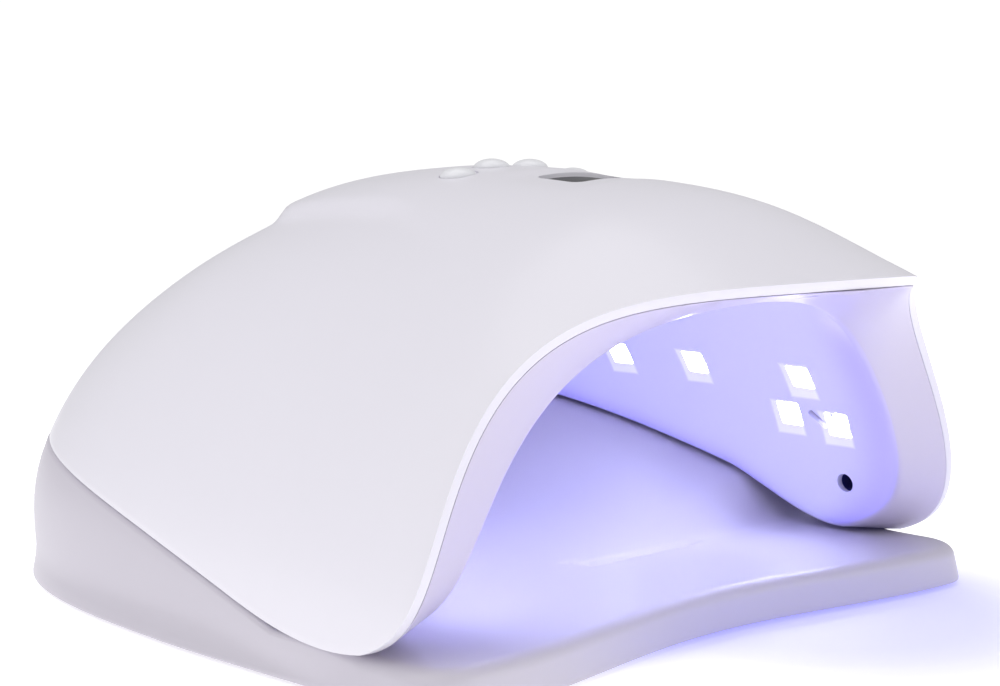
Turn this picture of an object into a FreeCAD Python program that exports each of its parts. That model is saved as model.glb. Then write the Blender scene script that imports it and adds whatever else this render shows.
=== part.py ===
import FreeCAD, Part
import math
import os
import Sketcher

# UV LED nail lamp: a lift-off head with a light cavity, standing on a separate base tray.
# Millimetres. +Z up, -Y is the mouth where the hand goes in, origin below the middle of the
# outer box on the surface that the lamp stands on.

Vector = FreeCAD.Vector
doc = FreeCAD.newDocument("nail_lamp")
sheet = doc.addObject("Spreadsheet::Sheet", "sizes")

SIZES = (
    # outer shell: a dome of superellipse sections, cut in side view by two edges
    ("shell_half_width", 88.0, "half width of the dome"),
    ("shell_front_taper", 0.0165, "share of the half width lost per 100 mm towards the mouth"),
    ("shell_middle_y", 3.5, "where the rear rounding of the plan starts"),
    ("shell_rear_y", 107.9, "rear end of the dome"),
    ("shell_rear_flat", 1.1, "depth cut off the rear rounding to leave a flat for the socket"),
    ("plan_power", 3.58, "roundness of the dome's rear in plan"),
    ("height_power", 2.15, "roundness of the dome's section near the roof"),
    ("width_power", 1.95, "roundness of the dome's section near the sides"),
    ("lip_y", -109.1, "front lip of the roof"),
    ("lip_z", 77.3, "height of the front lip"),
    ("foot_y", -46.1, "corner between the lower edge and the front edge"),
    ("foot_z", 7.0, "height of that corner before it is rounded"),
    ("edge_rear_z", 38.0, "height of the lower edge at the rear"),
    ("edge_bow", 3.3, "how far the lower edge bows up"),
    ("front_wave", 13.2, "how far the front edge swings out of its straight line"),
    ("front_sag", 0.8, "how far the front edge sags as a whole"),
    ("shell_wall", 2.4, "wall of the outer shell"),
    ("casing_gap", 0.3, "gap between fitted mouldings"),
    # inner liner
    ("band_side", 15.3, "width of the front band on the arms"),
    ("band_top", 16.9, "width of the front band under the roof"),
    ("liner_wall", 2.0, "wall of the liner"),
    ("band_wall", 2.2, "wall of the liner's front band and flange"),
    ("flange_lift", 8.0, "how far the liner's flange stands above the shell's lower edge"),
    ("flange_lift_rear", 2.0, "the same at the rear"),
    # base tray
    ("tray_half_width", 91.1, "half width of the tray on the floor"),
    ("tray_rear_y", 109.1, "rear of the tray on the floor"),
    ("tray_front_y", -82.1, "front corners of the tray"),
    ("tray_front_middle_y", -73.4, "front of the tray in the middle"),
    ("tray_front_half_width", 86.8, "half width of the tray at its front corners"),
    ("tray_corner", 10.5, "corner radius of the tray in plan"),
    ("tray_plan_power", 2.93, "roundness of the tray's rear in plan"),
    ("tray_underside_z", 0.8, "clearance under the tray's rim"),
    ("deck_z", 9.6, "top of the tray in front of the arms"),
    ("tray_wall", 2.4, "wall of the tray"),
    ("seat_gap", 0.5, "gap between head and tray"),
    # feet and magnets
    ("foot_radius", 6.0, "rubber foot radius"),
    ("foot_height", 2.2, "rubber foot height"),
    ("magnet_radius", 4.0, "magnet radius"),
    ("magnet_height", 3.0, "magnet height"),
    ("magnet_boss", 5.2, "radius of the boss round a magnet"),
    ("magnet_floor", 1.4, "plastic left between a magnet and the joint"),
    # light sources
    ("led_board_length", 82.0, "side board length"),
    ("led_board_width", 22.0, "side board width"),
    ("led_board_thick", 1.2, "board thickness"),
    ("led_tilt", 29.0, "slope of the side boards from upright"),
    ("led_mid_z", 44.0, "height of the side boards' middle"),
    ("led_chip", 5.0, "edge of a light chip"),
    ("led_chip_thick", 1.4, "thickness of a light chip"),
    ("led_window", 7.0, "edge of the square window in front of a chip"),
    ("top_board_z", 84.5, "underside of the roof board"),
    ("top_board_width", 18.0, "roof board width"),
    ("top_board_length", 62.0, "roof board length"),
    ("top_board_y", -46.0, "front end of the roof board"),
    ("top_chip_step", 26.0, "spacing of the roof chips along the board"),
    # infrared hand sensor
    ("sensor_slot_width", 2.2, "width of the slanted sensor slot"),
    ("sensor_slot_length", 6.4, "length of the slanted sensor slot"),
    ("sensor_body", 3.6, "edge of the emitter's and the receiver's body"),
    ("sensor_body_thick", 1.6, "thickness of that body"),
    ("sensor_dome", 0.9, "radius of its lens"),
    # control board
    ("board_z", 86.4, "underside of the control board"),
    ("board_thick", 1.6, "control board thickness"),
    ("board_half_width", 25.0, "control board half width"),
    ("board_front_y", -46.0, "front edge of the control board"),
    ("board_rear_y", 16.0, "rear edge of the control board"),
    ("post_x", 21.5, "board screw position either side"),
    ("post_front_y", -42.0, "front board screws"),
    ("post_rear_y", 12.0, "rear board screws"),
    ("post_radius", 2.6, "radius of the posts under the roof"),
    ("board_screw_radius", 1.1, "board screw thread radius"),
    ("board_screw_head", 2.0, "board screw head radius"),
    ("board_screw_head_height", 1.3, "board screw head height"),
    ("board_screw_length", 5.0, "board screw length under its head"),
    # display
    ("window_length", 26.0, "display window along X"),
    ("window_width", 13.0, "display window along Y"),
    ("window_thick", 1.4, "display window thickness"),
    ("window_y", -37.6, "middle of the display window"),
    ("window_sink", 0.7, "how far the window lies below the roof"),
    ("window_corner", 2.5, "corner radius of the window"),
    ("digits_length", 22.6, "display module along X"),
    ("digits_width", 10.0, "display module along Y"),
    # buttons
    ("button_pitch", 12.1, "spacing of the four buttons"),
    ("button_y", -10.1, "middle two buttons"),
    ("button_arc", 2.2, "how far the outer two lie further forward"),
    ("button_radius", 4.3, "button cap radius"),
    ("button_rise", 1.8, "how far a cap stands out of the roof"),
    ("button_round", 1.5, "rounding of a cap's top edge"),
    ("button_flange", 5.2, "radius of the flange that keeps a cap in"),
    ("button_flange_thick", 1.0, "thickness of that flange"),
    ("button_leg", 1.8, "radius of the leg under a cap"),
    ("button_gap", 0.2, "gap round a cap"),
    ("switch_edge", 6.0, "tactile switch body edge"),
    ("switch_height", 2.8, "tactile switch body height"),
    ("plunger_radius", 1.7, "switch plunger radius"),
    ("plunger_top", 3.5, "plunger top above the board"),
    ("plunger_depth", 1.4, "depth of the plunger's well below the switch top"),
    ("plunger_gap", 0.05, "running clearance of the plunger"),
    # liner screws
    ("arm_screw_y", -55.6, "screws in the arms"),
    ("arm_screw_z", 22.5, "their height"),
    ("roof_screw_y", -95.0, "screw under the lip"),
    ("screw_radius", 1.3, "liner screw thread radius"),
    ("screw_head", 2.6, "liner screw head radius"),
    ("screw_head_height", 1.6, "liner screw head height"),
    ("screw_length", 5.0, "liner screw length under its head"),
    ("screw_well", 2.9, "radius of the well in front of a screw head"),
    ("screw_tube", 4.2, "radius of the tube round that well"),
    ("screw_seat", 1.2, "plastic under a screw head"),
    # power socket
    ("socket_z", 49.5, "height of the power socket"),
    ("socket_half_width", 4.6, "half width and half height of its body"),
    ("socket_length", 9.0, "length of its body"),
    ("socket_nose", 4.2, "radius of its nose"),
    ("socket_bore", 3.15, "radius of its bore"),
    ("socket_depth", 9.4, "depth of its bore"),
    ("pin_radius", 1.05, "radius of its centre pin"),
    ("pin_short", 0.8, "how far the pin ends inside the mouth"),
    # vents either side of the socket
    ("vent_first_x", 15.0, "first vent from the middle"),
    ("vent_step", 4.5, "spacing of the vents"),
    ("vent_width", 1.8, "width of a vent"),
    ("vent_height", 8.0, "height of a vent"),
    # leads
    ("lead_radius", 1.1, "radius of a lead"),
)
for row, (alias, value, meaning) in enumerate(SIZES, start=1):
    sheet.set("A%d" % row, meaning)
    sheet.set("B%d" % row, str(value))
    sheet.setAlias("B%d" % row, alias)
doc.recompute()
filled_rows = [len(SIZES)]
nodes = []


def size(alias):
    return float(sheet.get(alias))


def derive(alias, value, meaning):
    """Adds a worked-out size to the sheet, so that a feature can be bound to it."""
    filled_rows[0] += 1
    row = filled_rows[0]
    sheet.set("A%d" % row, meaning)
    sheet.set("B%d" % row, "%.4f" % value)
    sheet.setAlias("B%d" % row, alias)
    doc.recompute()
    return "sizes." + alias


def keep(name, piece):
    """Marks an object as a finished sub-part, whose Label is its file name."""
    piece.Label = name
    nodes.append(piece)
    return piece


def bound(kind, name, place=None, **expressions):
    """A Part primitive whose sizes are bound to the sheet."""
    piece = doc.addObject("Part::" + kind, name)
    for property_name, expression in expressions.items():
        piece.setExpression(property_name, expression)
    if place is not None:
        piece.Placement = place
    return piece


def at(x, y, z, axis=(0, 0, 1), angle=0.0):
    return FreeCAD.Placement(Vector(x, y, z), FreeCAD.Rotation(Vector(*axis), angle))


def group(name, pieces):
    """Separate solids that are one sub-part."""
    collection = doc.addObject("Part::Compound", name + "_group")
    collection.Links = pieces
    return keep(name, collection)


def solid_feature(name, shape):
    """A sub-part whose free-form shape no primitive gives."""
    piece = doc.addObject("Part::Feature", name + "_shape")
    piece.Shape = shape
    piece.Placement = FreeCAD.Placement()
    return keep(name, piece)


def outline(body, role, corners):
    """A closed sketch of straight lines. Each corner is a pair of expressions."""
    plane = [feature for feature in body.Origin.OriginFeatures if feature.Role == role][0]
    sketch = body.newObject("Sketcher::SketchObject", body.Name + "_outline")
    sketch.AttachmentSupport = [(plane, "")]
    sketch.MapMode = "FlatFace"
    count = len(corners)
    turn = 2.0 * math.pi / count
    spots = [Vector(10.0 * math.cos(turn * i), 10.0 * math.sin(turn * i), 0.0) for i in range(count)]
    for index in range(count):
        sketch.addGeometry(Part.LineSegment(spots[index], spots[(index + 1) % count]), False)
    for index in range(count):
        sketch.addConstraint(Sketcher.Constraint("Coincident", index, 2, (index + 1) % count, 1))
    for index, (across, up) in enumerate(corners):
        for kind, expression in (("DistanceX", across), ("DistanceY", up)):
            number = sketch.addConstraint(Sketcher.Constraint(kind, -1, 1, index, 1, 1.0))
            sketch.setExpression("Constraints[%d]" % number, expression)
    return sketch


def turned(name, corners):
    """A body made by turning a half section, given as radius and height, about Z."""
    body = doc.addObject("PartDesign::Body", name)
    sketch = outline(body, "XZ_Plane", corners)
    spin = body.newObject("PartDesign::Revolution", name + "_turn")
    spin.Profile = sketch
    spin.ReferenceAxis = (sketch, ["V_Axis"])
    spin.Angle = 360.0
    sketch.Visibility = False
    doc.recompute()
    return body


# ---------------------------------------------------------------- shape of the dome

RIDGE = (  # height of the roof's ridge at stations from the lip to the rear
    (size("lip_y"), size("lip_z")), (-96.0, 83.0), (-71.0, 92.8), (-46.0, 96.7), (-21.0, 98.7),
    (4.0, 99.1), (29.0, 96.2), (54.0, 86.7), (79.0, 75.2), (size("shell_rear_y"), 59.2),
)


def ridge(y):
    """Roof height in the middle plane, a smooth curve through the stations."""
    last = len(RIDGE) - 1
    i = max(k for k in range(last) if k == 0 or RIDGE[k][0] <= y)
    (y0, z0), (y1, z1) = RIDGE[i], RIDGE[i + 1]
    before = RIDGE[max(i - 1, 0)]
    after = RIDGE[min(i + 2, last)]
    slope0 = (z1 - before[1]) / (y1 - before[0])
    slope1 = (after[1] - z0) / (after[0] - y0)
    if y < y0:
        return z0 + slope0 * (y - y0)
    t = (y - y0) / (y1 - y0)
    if t > 1.0:
        return z1 + slope1 * (y - y1)
    bend0 = slope0 * (y1 - y0)
    bend1 = slope1 * (y1 - y0)
    rise = z1 - z0
    return z0 + bend0 * t + (3 * rise - 2 * bend0 - bend1) * t ** 2 + (bend0 + bend1 - 2 * rise) * t ** 3


def half_width(y, inset):
    """Half width of the dome at the floor, drawn in by inset."""
    middle = size("shell_middle_y")
    if y <= middle:
        return size("shell_half_width") * (1 - size("shell_front_taper") * (middle - y) / 100) - inset
    share = min((y - middle) / (size("shell_rear_y") - inset - middle), 1.0)
    power = size("plan_power")
    return (size("shell_half_width") - inset) * (1 - share ** power) ** (1 / power)


def wall_x(y, z, inset, roof_inset):
    """Half width of the dome at height z."""
    share = min(z / (ridge(y) - roof_inset), 1.0)
    return half_width(y, inset) * (1 - share ** size("height_power")) ** (1 / size("width_power"))


def dome(inset, roof_inset):
    """The solid dome, drawn in by the two insets, down to the floor."""
    middle = size("shell_middle_y")
    reach = size("shell_rear_y") - inset - middle
    last_turn = math.asin(1 - size("shell_rear_flat") / reach)
    stations = [-122.0 + (middle + 122.0) * i / 8 for i in range(8)]
    stations += [middle + reach * math.sin(last_turn * i / 9) for i in range(10)]
    wires = []
    for y in stations:
        wide = half_width(y, inset)
        tall = ridge(y) - roof_inset
        arch = []
        for step in range(25):
            angle = math.pi * step / 24
            across = abs(math.cos(angle)) ** (2 / size("width_power"))
            up = math.sin(angle) ** (2 / size("height_power")) if 0 < step < 24 else 0.0
            arch.append(Vector(math.copysign(across * wide, math.cos(angle)), y, up * tall))
        curve = Part.BSplineCurve()
        curve.interpolate(arch)
        wires.append(Part.Wire([curve.toShape(), Part.makeLine(arch[-1], arch[0])]))
    return Part.makeLoft(wires, True, False)


# ---------------------------------------------------------------- shape of the side view

def smooth(value):
    value = min(max(value, 0.0), 1.0)
    return value * value * (3 - 2 * value)


def lower_edge(y):
    """Height of the shell's lower edge behind the arms' feet."""
    share = (y - size("foot_y")) / (size("shell_rear_y") - size("foot_y"))
    straight = size("foot_z") + (size("edge_rear_z") - size("foot_z")) * share
    return straight + size("edge_bow") * math.sin(math.pi * min(max(share, 0.0), 1.0))


def flange_edge(y):
    """Height of the liner's lower face, above the shell's lower edge."""
    rise = smooth((y + 48.0) / 30.0) * size("flange_lift")
    fall = smooth((y - 64.0) / 35.0) * (size("flange_lift") - size("flange_lift_rear"))
    return lower_edge(y) + rise - fall


def front_edge(share):
    """A point of the front edge, from the foot's corner at 0 to the lip at 1."""
    run = size("lip_y") - size("foot_y")
    rise = size("lip_z") - size("foot_z")
    length = math.hypot(run, rise)
    swing = size("front_wave") * math.sin(2 * math.pi * share) - size("front_sag") * math.sin(math.pi * share)
    return Vector(0, size("foot_y") + run * share - rise / length * swing,
                  size("foot_z") + rise * share + run / length * swing)


def spline(points):
    curve = Part.BSplineCurve()
    curve.interpolate(points)
    return curve.toShape()


def across_all(edges):
    """Turns a closed side view into a solid that is wider than the lamp."""
    wire = Part.Wire(edges)
    wire.translate(Vector(-120, 0, 0))
    return Part.Face(wire).extrude(Vector(240, 0, 0))


def head_side(edge, moved):
    """Everything above a lower edge and behind the front edge, moved by (y, z)."""
    behind = [Vector(0, y, edge(y)) for y in (125.0, 108.0, 88.0, 64.0, 40.0, 14.0, -6.0, -18.0)]
    heel = behind[-1]
    slope = (edge(-18.0) - edge(-22.0)) / 4.0
    toe = front_edge(0.135)
    foot = Part.BezierCurve()
    foot.setPoles([heel, heel + Vector(0, -12, -12 * slope), Vector(0, size("foot_y"), size("foot_z")), toe])
    front = [front_edge(0.135 + 0.865 * i / 12) for i in range(13)]
    corners = [front[-1], Vector(0, -128, 79.5), Vector(0, -128, 125), Vector(0, 125, 125), behind[0]]
    edges = [spline(behind), foot.toShape(), spline(front)]
    edges += [Part.makeLine(a, b) for a, b in zip(corners, corners[1:])]
    solid = across_all(edges)
    solid.translate(Vector(0, *moved))
    return solid


def tray_side(edge, drop, front_z):
    """Everything below an edge lowered by drop, and below front_z in front."""
    stations = [125.0, 108.0, 88.0, 64.0, 40.0, 14.0, -6.0, -18.0, -28.0]
    line = [Vector(0, y, max(edge(y) - drop, front_z)) for y in stations]
    line += [Vector(0, -38.0, front_z)]
    ends = [line[-1], Vector(0, -130, front_z), Vector(0, -130, -10), Vector(0, 125, -10), line[0]]
    edges = [spline(line)]
    edges += [Part.makeLine(a, b) for a, b in zip(ends, ends[1:])]
    return across_all(edges)


# ---------------------------------------------------------------- side walls of the light cavity

LED_SPOTS = ((9.3, 50.1), (-16.7, 49.8), (-50.3, 48.9), (-42.8, 38.9), (-57.0, 37.4))  # y and z
SENSOR_SPOT = (-51.2, 38.2)
BOARD_MIDDLE_Y = -23.0
tilt = math.radians(size("led_tilt"))
wall_middle_x = wall_x(size("shell_middle_y"), size("led_mid_z"),
                       size("band_side") - size("liner_wall"), size("band_top") - size("liner_wall"))


def along_wall(y, z):
    """How far up the sloping side board a point of the cavity's wall lies."""
    x = wall_x(y, z, size("band_side"), size("band_top"))
    return (x - wall_middle_x) * -math.sin(tilt) + (z - size("led_mid_z")) * math.cos(tilt)


def on_wall(side, y, up, outward, turn=0.0):
    """A placement on the side board's plane: local X points out, local Z up the board."""
    x = wall_middle_x + outward * math.cos(tilt) - up * math.sin(tilt)
    z = size("led_mid_z") + outward * math.sin(tilt) + up * math.cos(tilt)
    lean = size("led_tilt") if side > 0 else 180.0 - size("led_tilt")
    rotation = FreeCAD.Rotation(Vector(0, 1, 0), -lean).multiply(FreeCAD.Rotation(Vector(1, 0, 0), turn))
    return FreeCAD.Placement(Vector(side * x, y, z), rotation)


def wall_block(side, y, up, outward, sides, turn=0.0):
    """A solid block of (thickness, length, width) centred on a spot of the side board."""
    block = Part.makeBox(sides[0], sides[1], sides[2], Vector(0, -sides[1] / 2, -sides[2] / 2))
    block.Placement = on_wall(side, y, up, outward, turn)
    return block


# ---------------------------------------------------------------- magnets and liner screws

MAGNET_Y = (-16.0, 49.0)


def magnet_spots():
    """The four places over the flange, midway between the liner's skin and the shell."""
    spots = []
    for y in MAGNET_Y:
        z = flange_edge(y)
        outer = wall_x(y, z + 3, size("shell_wall"), size("shell_wall"))
        inner = wall_x(y, z + 3, size("band_side") - size("liner_wall"), size("band_top") - size("liner_wall"))
        spots += [(side * (outer + inner) / 2, y, z) for side in (-1, 1)]
    return spots


# start of a screw well, direction of the screw and length of the well's tube
SCREWS = [
    (Vector(side * 69.0, size("arm_screw_y"), size("arm_screw_z")), Vector(side, 0, 0), 9.0) for side in (-1, 1)
] + [(Vector(0, size("roof_screw_y"), 71.5), Vector(0, 0, 1), 6.2)]


def rod(radius, start, direction, begin, end):
    return Part.makeCylinder(radius, end - begin, start + direction * begin, direction)


# ---------------------------------------------------------------- top shell

def make_top_shell():
    """Outer moulding of the head, with posts under the roof and screw bosses in the arms."""
    wall = size("shell_wall")
    side_view = head_side(lower_edge, (0, 0))
    outer = dome(0, 0)
    shell = outer.cut(dome(wall, wall)).common(side_view)
    additions = []
    for x in (-size("post_x"), size("post_x")):
        for y in (size("post_front_y"), size("post_rear_y")):
            foot = size("board_z") + size("board_thick")
            additions.append(Part.makeCylinder(size("post_radius"), 20, Vector(x, y, foot)))
    for start, direction, tube in SCREWS:
        additions.append(rod(3.2, start, direction, tube + 0.2, tube + 14))
    inside = dome(wall / 2, wall / 2).common(side_view)
    shell = shell.fuse([piece.common(inside) for piece in additions])
    holes = []
    for x in (-size("post_x"), size("post_x")):
        for y in (size("post_front_y"), size("post_rear_y")):
            holes.append(Part.makeCylinder(size("board_screw_radius") + 0.03, size("board_screw_length") + 0.2,
                                           Vector(x, y, size("board_z"))))
    for start, direction, tube in SCREWS:
        depth = tube - size("screw_seat") + size("screw_length") + 0.2
        holes.append(rod(size("screw_radius") + 0.03, start, direction, tube - 1, depth))
    for x, y in button_spots():
        holes.append(Part.makeCylinder(size("button_radius") + size("button_gap"), 30, Vector(x, y, 80)))
    holes.append(window_block(size("casing_gap") / 2, 30))
    long, wide = size("digits_length") + size("casing_gap"), size("digits_width") + size("casing_gap")
    holes.append(Part.makeBox(long, wide, 8, Vector(-long / 2, size("window_y") - wide / 2, 90)))
    rear = size("shell_rear_y")
    holes.append(Part.makeCylinder(size("socket_nose") + 0.15, 12, Vector(0, rear - 8, size("socket_z")),
                                   Vector(0, 1, 0)))
    for side in (-1, 1):
        for number in range(4):
            x = side * (size("vent_first_x") + number * size("vent_step")) - size("vent_width") / 2
            holes.append(Part.makeBox(size("vent_width"), 14, size("vent_height"),
                                      Vector(x, rear - 10, size("socket_z") - size("vent_height") / 2)))
    return solid_feature("top_shell", shell.cut(holes).removeSplitter())


def button_spots():
    pitch = size("button_pitch")
    return [(pitch * (k - 1.5), size("button_y") - (size("button_arc") if k in (0, 3) else 0.0)) for k in range(4)]


def window_block(margin, height):
    """The display window's outline with rounded corners, as a block standing on the window's underside."""
    length = size("window_length") + 2 * margin
    width = size("window_width") + 2 * margin
    low = ridge(size("window_y")) - size("window_sink") - size("window_thick")
    block = Part.makeBox(length, width, height, Vector(-length / 2, size("window_y") - width / 2, low))
    upright = [edge for edge in block.Edges if abs(edge.tangentAt(edge.FirstParameter).z) > 0.9]
    return block.makeFillet(size("window_corner") + margin, upright)


# ---------------------------------------------------------------- inner liner

def make_inner_liner():
    """Reflecting liner: cavity skin, flat band round the mouth and a flange along the lower edge."""
    gap = size("shell_wall") + size("casing_gap")
    skin = size("liner_wall")
    side_view = head_side(flange_edge, (0, 0))
    cavity = dome(size("band_side"), size("band_top"))
    cavity_back = dome(size("band_side") - skin, size("band_top") - skin)
    block = dome(gap, gap).common(side_view)
    inner_side = head_side(flange_edge, (size("band_wall"), size("band_wall")))
    liner = block.cut(inner_side.cut(cavity_back))
    bosses = []
    for x, y, z in magnet_spots():
        bosses.append(Part.makeCylinder(size("magnet_boss"), size("magnet_height") + 3, Vector(x, y, z - 1)))
    for start, direction, tube in SCREWS:
        bosses.append(rod(size("screw_tube"), start, direction, 0, tube))
    liner = liner.fuse([boss.common(block) for boss in bosses]).cut(cavity)
    holes = []
    for x, y, z in magnet_spots():
        holes.append(Part.makeCylinder(size("magnet_radius") + 0.05, 12, Vector(x, y, z + size("magnet_floor"))))
    for start, direction, tube in SCREWS:
        holes.append(rod(size("screw_well"), start, direction, -6, tube - size("screw_seat")))
        holes.append(rod(size("screw_radius") + 0.2, start, direction, 0, tube + 2))
    window = size("led_window")
    for side in (-1, 1):
        for y, z in LED_SPOTS:
            holes.append(wall_block(side, y, along_wall(y, z), -8, (14, window, window)))
        y, z = SENSOR_SPOT
        slot = (14, size("sensor_slot_length"), size("sensor_slot_width"))
        holes.append(wall_block(side, y, along_wall(y, z), -8, slot, -45.0))
    for x, y in top_chip_spots():
        holes.append(Part.makeBox(window, window, 16, Vector(x - window / 2, y - window / 2, size("top_board_z") - 12)))
    return solid_feature("inner_liner", liner.cut(holes).removeSplitter())


def top_chip_spots():
    """Two staggered rows of chips on the roof board."""
    start = size("top_board_y") + 5
    return [((-5.0, 5.0)[k % 2], start + k * size("top_chip_step") / 2) for k in range(5)]


# ---------------------------------------------------------------- base tray

TRAY_LEVELS = ((0.0, 0.0), (7.0, 2.9), (20.0, 4.6), (48.0, 8.6))  # height and how far the side draws in


def tray_outline(z, draw_in, inset):
    """Plan outline of the tray at height z: rounded rear, straight sides, waved front."""
    wide = size("tray_half_width") - draw_in - inset
    wide_front = size("tray_front_half_width") - draw_in / 2 - inset
    rear = size("tray_rear_y") - draw_in * 0.28 - inset
    front = size("tray_front_y") + inset + draw_in * 0.3
    front_middle = size("tray_front_middle_y") + inset + draw_in * 0.3
    middle = size("shell_middle_y")
    corner = size("tray_corner")
    power = 2 / size("tray_plan_power")
    right = [Vector(wide_front, front + corner, z)]
    for share in (0.25, 0.5, 0.75):
        y = front + corner + (middle - front - corner) * share
        right.append(Vector(wide_front + (wide - wide_front) * smooth(share), y, z))
    for step in range(12):
        angle = math.pi / 2 * step / 12
        right.append(Vector(wide * math.cos(angle) ** power, middle + (rear - middle) * math.sin(angle) ** power, z))
    left = [Vector(-point.x, point.y, z) for point in right]
    body = spline(right + [Vector(0, rear, z)] + left[::-1])
    reach = wide_front - corner
    wave = []
    for step in range(17):
        x = -reach + 2 * reach * step / 16
        lift = (1 + math.cos(math.pi * x / reach)) / 2
        wave.append(Vector(x, front + (front_middle - front) * lift, z))
    edges = [body]
    for side, ends in ((-1, (left[0], wave[0])), (1, (wave[-1], right[0]))):
        turn = corner * (1 - math.sqrt(0.5))
        middle_point = Vector(side * (wide_front - turn), front + turn, z)
        edges.append(Part.Arc(ends[0], middle_point, ends[1]).toShape())
        if side < 0:
            edges.append(spline(wave))
    return Part.Wire(edges)


def tray_block(inset, low):
    """The tray's outer form up to the highest point of its joint with the head."""
    levels = ((low, TRAY_LEVELS[0][1]),) + TRAY_LEVELS[1:]
    return Part.makeLoft([tray_outline(z, draw_in, inset) for z, draw_in in levels], True, False)


def floor_middle(y):
    """Height of the tray's floor in the middle plane: flat in front, climbing at the rear."""
    rear = 88.0
    climb = flange_edge(rear) - size("seat_gap") - size("deck_z")
    return size("deck_z") + climb * max((y - 4.0) / (rear - 4.0), 0.0) ** 3


def dish(lower, wider):
    """The hollow over the tray's floor, which curls up to the liner's edge at both sides."""
    wires = []
    for y in (-50.0, -40.0, -30.0, -20.0, -6.0, 8.0, 22.0, 36.0, 50.0, 62.0, 72.0, 80.0, 86.0, 89.5):
        rim = flange_edge(y) - size("seat_gap") - lower
        middle = floor_middle(y) - lower
        rim = max(rim, middle)
        reach = wall_x(y, rim, size("band_side"), size("band_top")) + wider
        bowl = [Vector(reach * s / 8, y, middle + (rim - middle) * abs(s / 8) ** 3) for s in range(-8, 9)]
        top = [Vector(reach, y, rim + 40), Vector(-reach, y, rim + 40)]
        corners = [bowl[-1]] + top + [bowl[0]]
        edges = [spline(bowl)] + [Part.makeLine(a, b) for a, b in zip(corners, corners[1:])]
        wires.append(Part.Wire(edges))
    return Part.makeLoft(wires, True, False)


def make_base_tray():
    """Tray moulding: deck, dished floor, rear rim and an inner wall that locates the head."""
    wall = size("tray_wall")
    gap = size("seat_gap")
    spigot_inset = size("shell_wall") + 2 * size("casing_gap")
    outer = tray_block(0, size("tray_underside_z")).common(tray_side(lower_edge, gap, size("deck_z")))
    spigot = dome(spigot_inset, spigot_inset).common(tray_side(flange_edge, gap, size("deck_z")))
    spigot = spigot.common(Part.makeBox(240, 170, 80, Vector(-120, -50, 3)))
    tray = outer.fuse(spigot).cut(dish(0, 0))
    toes = Part.makeBox(240, 62, 30, Vector(-120, -90, 0))
    grown = dome(-0.6, -0.6).common(toes)
    under_shell = grown.cut(dome(spigot_inset, spigot_inset)).common(head_side(lower_edge, (-gap, -gap)))
    under_liner = grown.common(head_side(flange_edge, (-gap, -gap)))
    tray = tray.cut([under_shell, under_liner])
    under = tray_block(wall, -2.0).common(tray_side(lower_edge, gap + wall, size("deck_z") - wall))
    core_inset = spigot_inset + wall
    core = dome(core_inset, core_inset).common(tray_side(flange_edge, gap + wall, size("deck_z") - wall))
    core = core.common(Part.makeBox(240, 160, 80, Vector(-120, -26, -3)))
    hollow = under.fuse(core).cut(dish(wall, wall))
    hollow = hollow.cut(tray_ribs())
    tray = tray.cut(hollow)
    pockets = []
    for x, y, z in magnet_spots():
        top = z - gap - size("magnet_floor")
        pockets.append(Part.makeCylinder(size("magnet_radius") + 0.05, 40, Vector(x, y, top - 40)))
    for x, y in FEET:
        pockets.append(Part.makeCylinder(size("foot_radius") + 0.15, 3, Vector(x, y, size("foot_height") - 3)))
    return solid_feature("base_tray", tray.cut(pockets).removeSplitter())


FEET = ((-70.0, -62.0), (70.0, -62.0), (-58.0, 66.0), (58.0, 66.0))


def tray_ribs():
    """Ribs, foot pads and magnet bosses under the floor."""
    ribs = []
    for y in (-55.0, -30.0, -5.0, 20.0, 45.0, 70.0):
        ribs.append(Part.makeBox(220, 1.6, 60, Vector(-110, y - 0.8, 2.0)))
    for x in (-45.0, 0.0, 45.0):
        ribs.append(Part.makeBox(1.6, 230, 60, Vector(x - 0.8, -110, 2.0)))
    for x, y in FEET:
        ribs.append(Part.makeCylinder(size("foot_radius") + 2, 60, Vector(x, y, size("tray_underside_z"))))
    for x, y, z in magnet_spots():
        top = z - size("seat_gap")
        ribs.append(Part.makeCylinder(size("magnet_boss"), 60, Vector(x, y, top - size("magnet_height") - 4)))
    return ribs


# ---------------------------------------------------------------- feet, magnets and screws

def make_feet():
    feet = []
    for number, (x, y) in enumerate(FEET):
        feet.append(bound("Cylinder", "foot_%d" % number, at(x, y, 0),
                          Radius="sizes.foot_radius", Height="sizes.foot_height"))
    group("base_feet", feet)


def make_magnets():
    """Four pairs of disc magnets that hold the tray to the head."""
    in_head = []
    in_tray = []
    floor = size("magnet_floor")
    for number, (x, y, z) in enumerate(magnet_spots()):
        low = z - size("seat_gap") - floor - size("magnet_height")
        sizes = {"Radius": "sizes.magnet_radius", "Height": "sizes.magnet_height"}
        in_head.append(bound("Cylinder", "head_magnet_%d" % number, at(x, y, z + floor + 0.05), **sizes))
        in_tray.append(bound("Cylinder", "tray_magnet_%d" % number, at(x, y, low), **sizes))
    group("head_magnets", in_head)
    group("base_magnets", in_tray)


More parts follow.
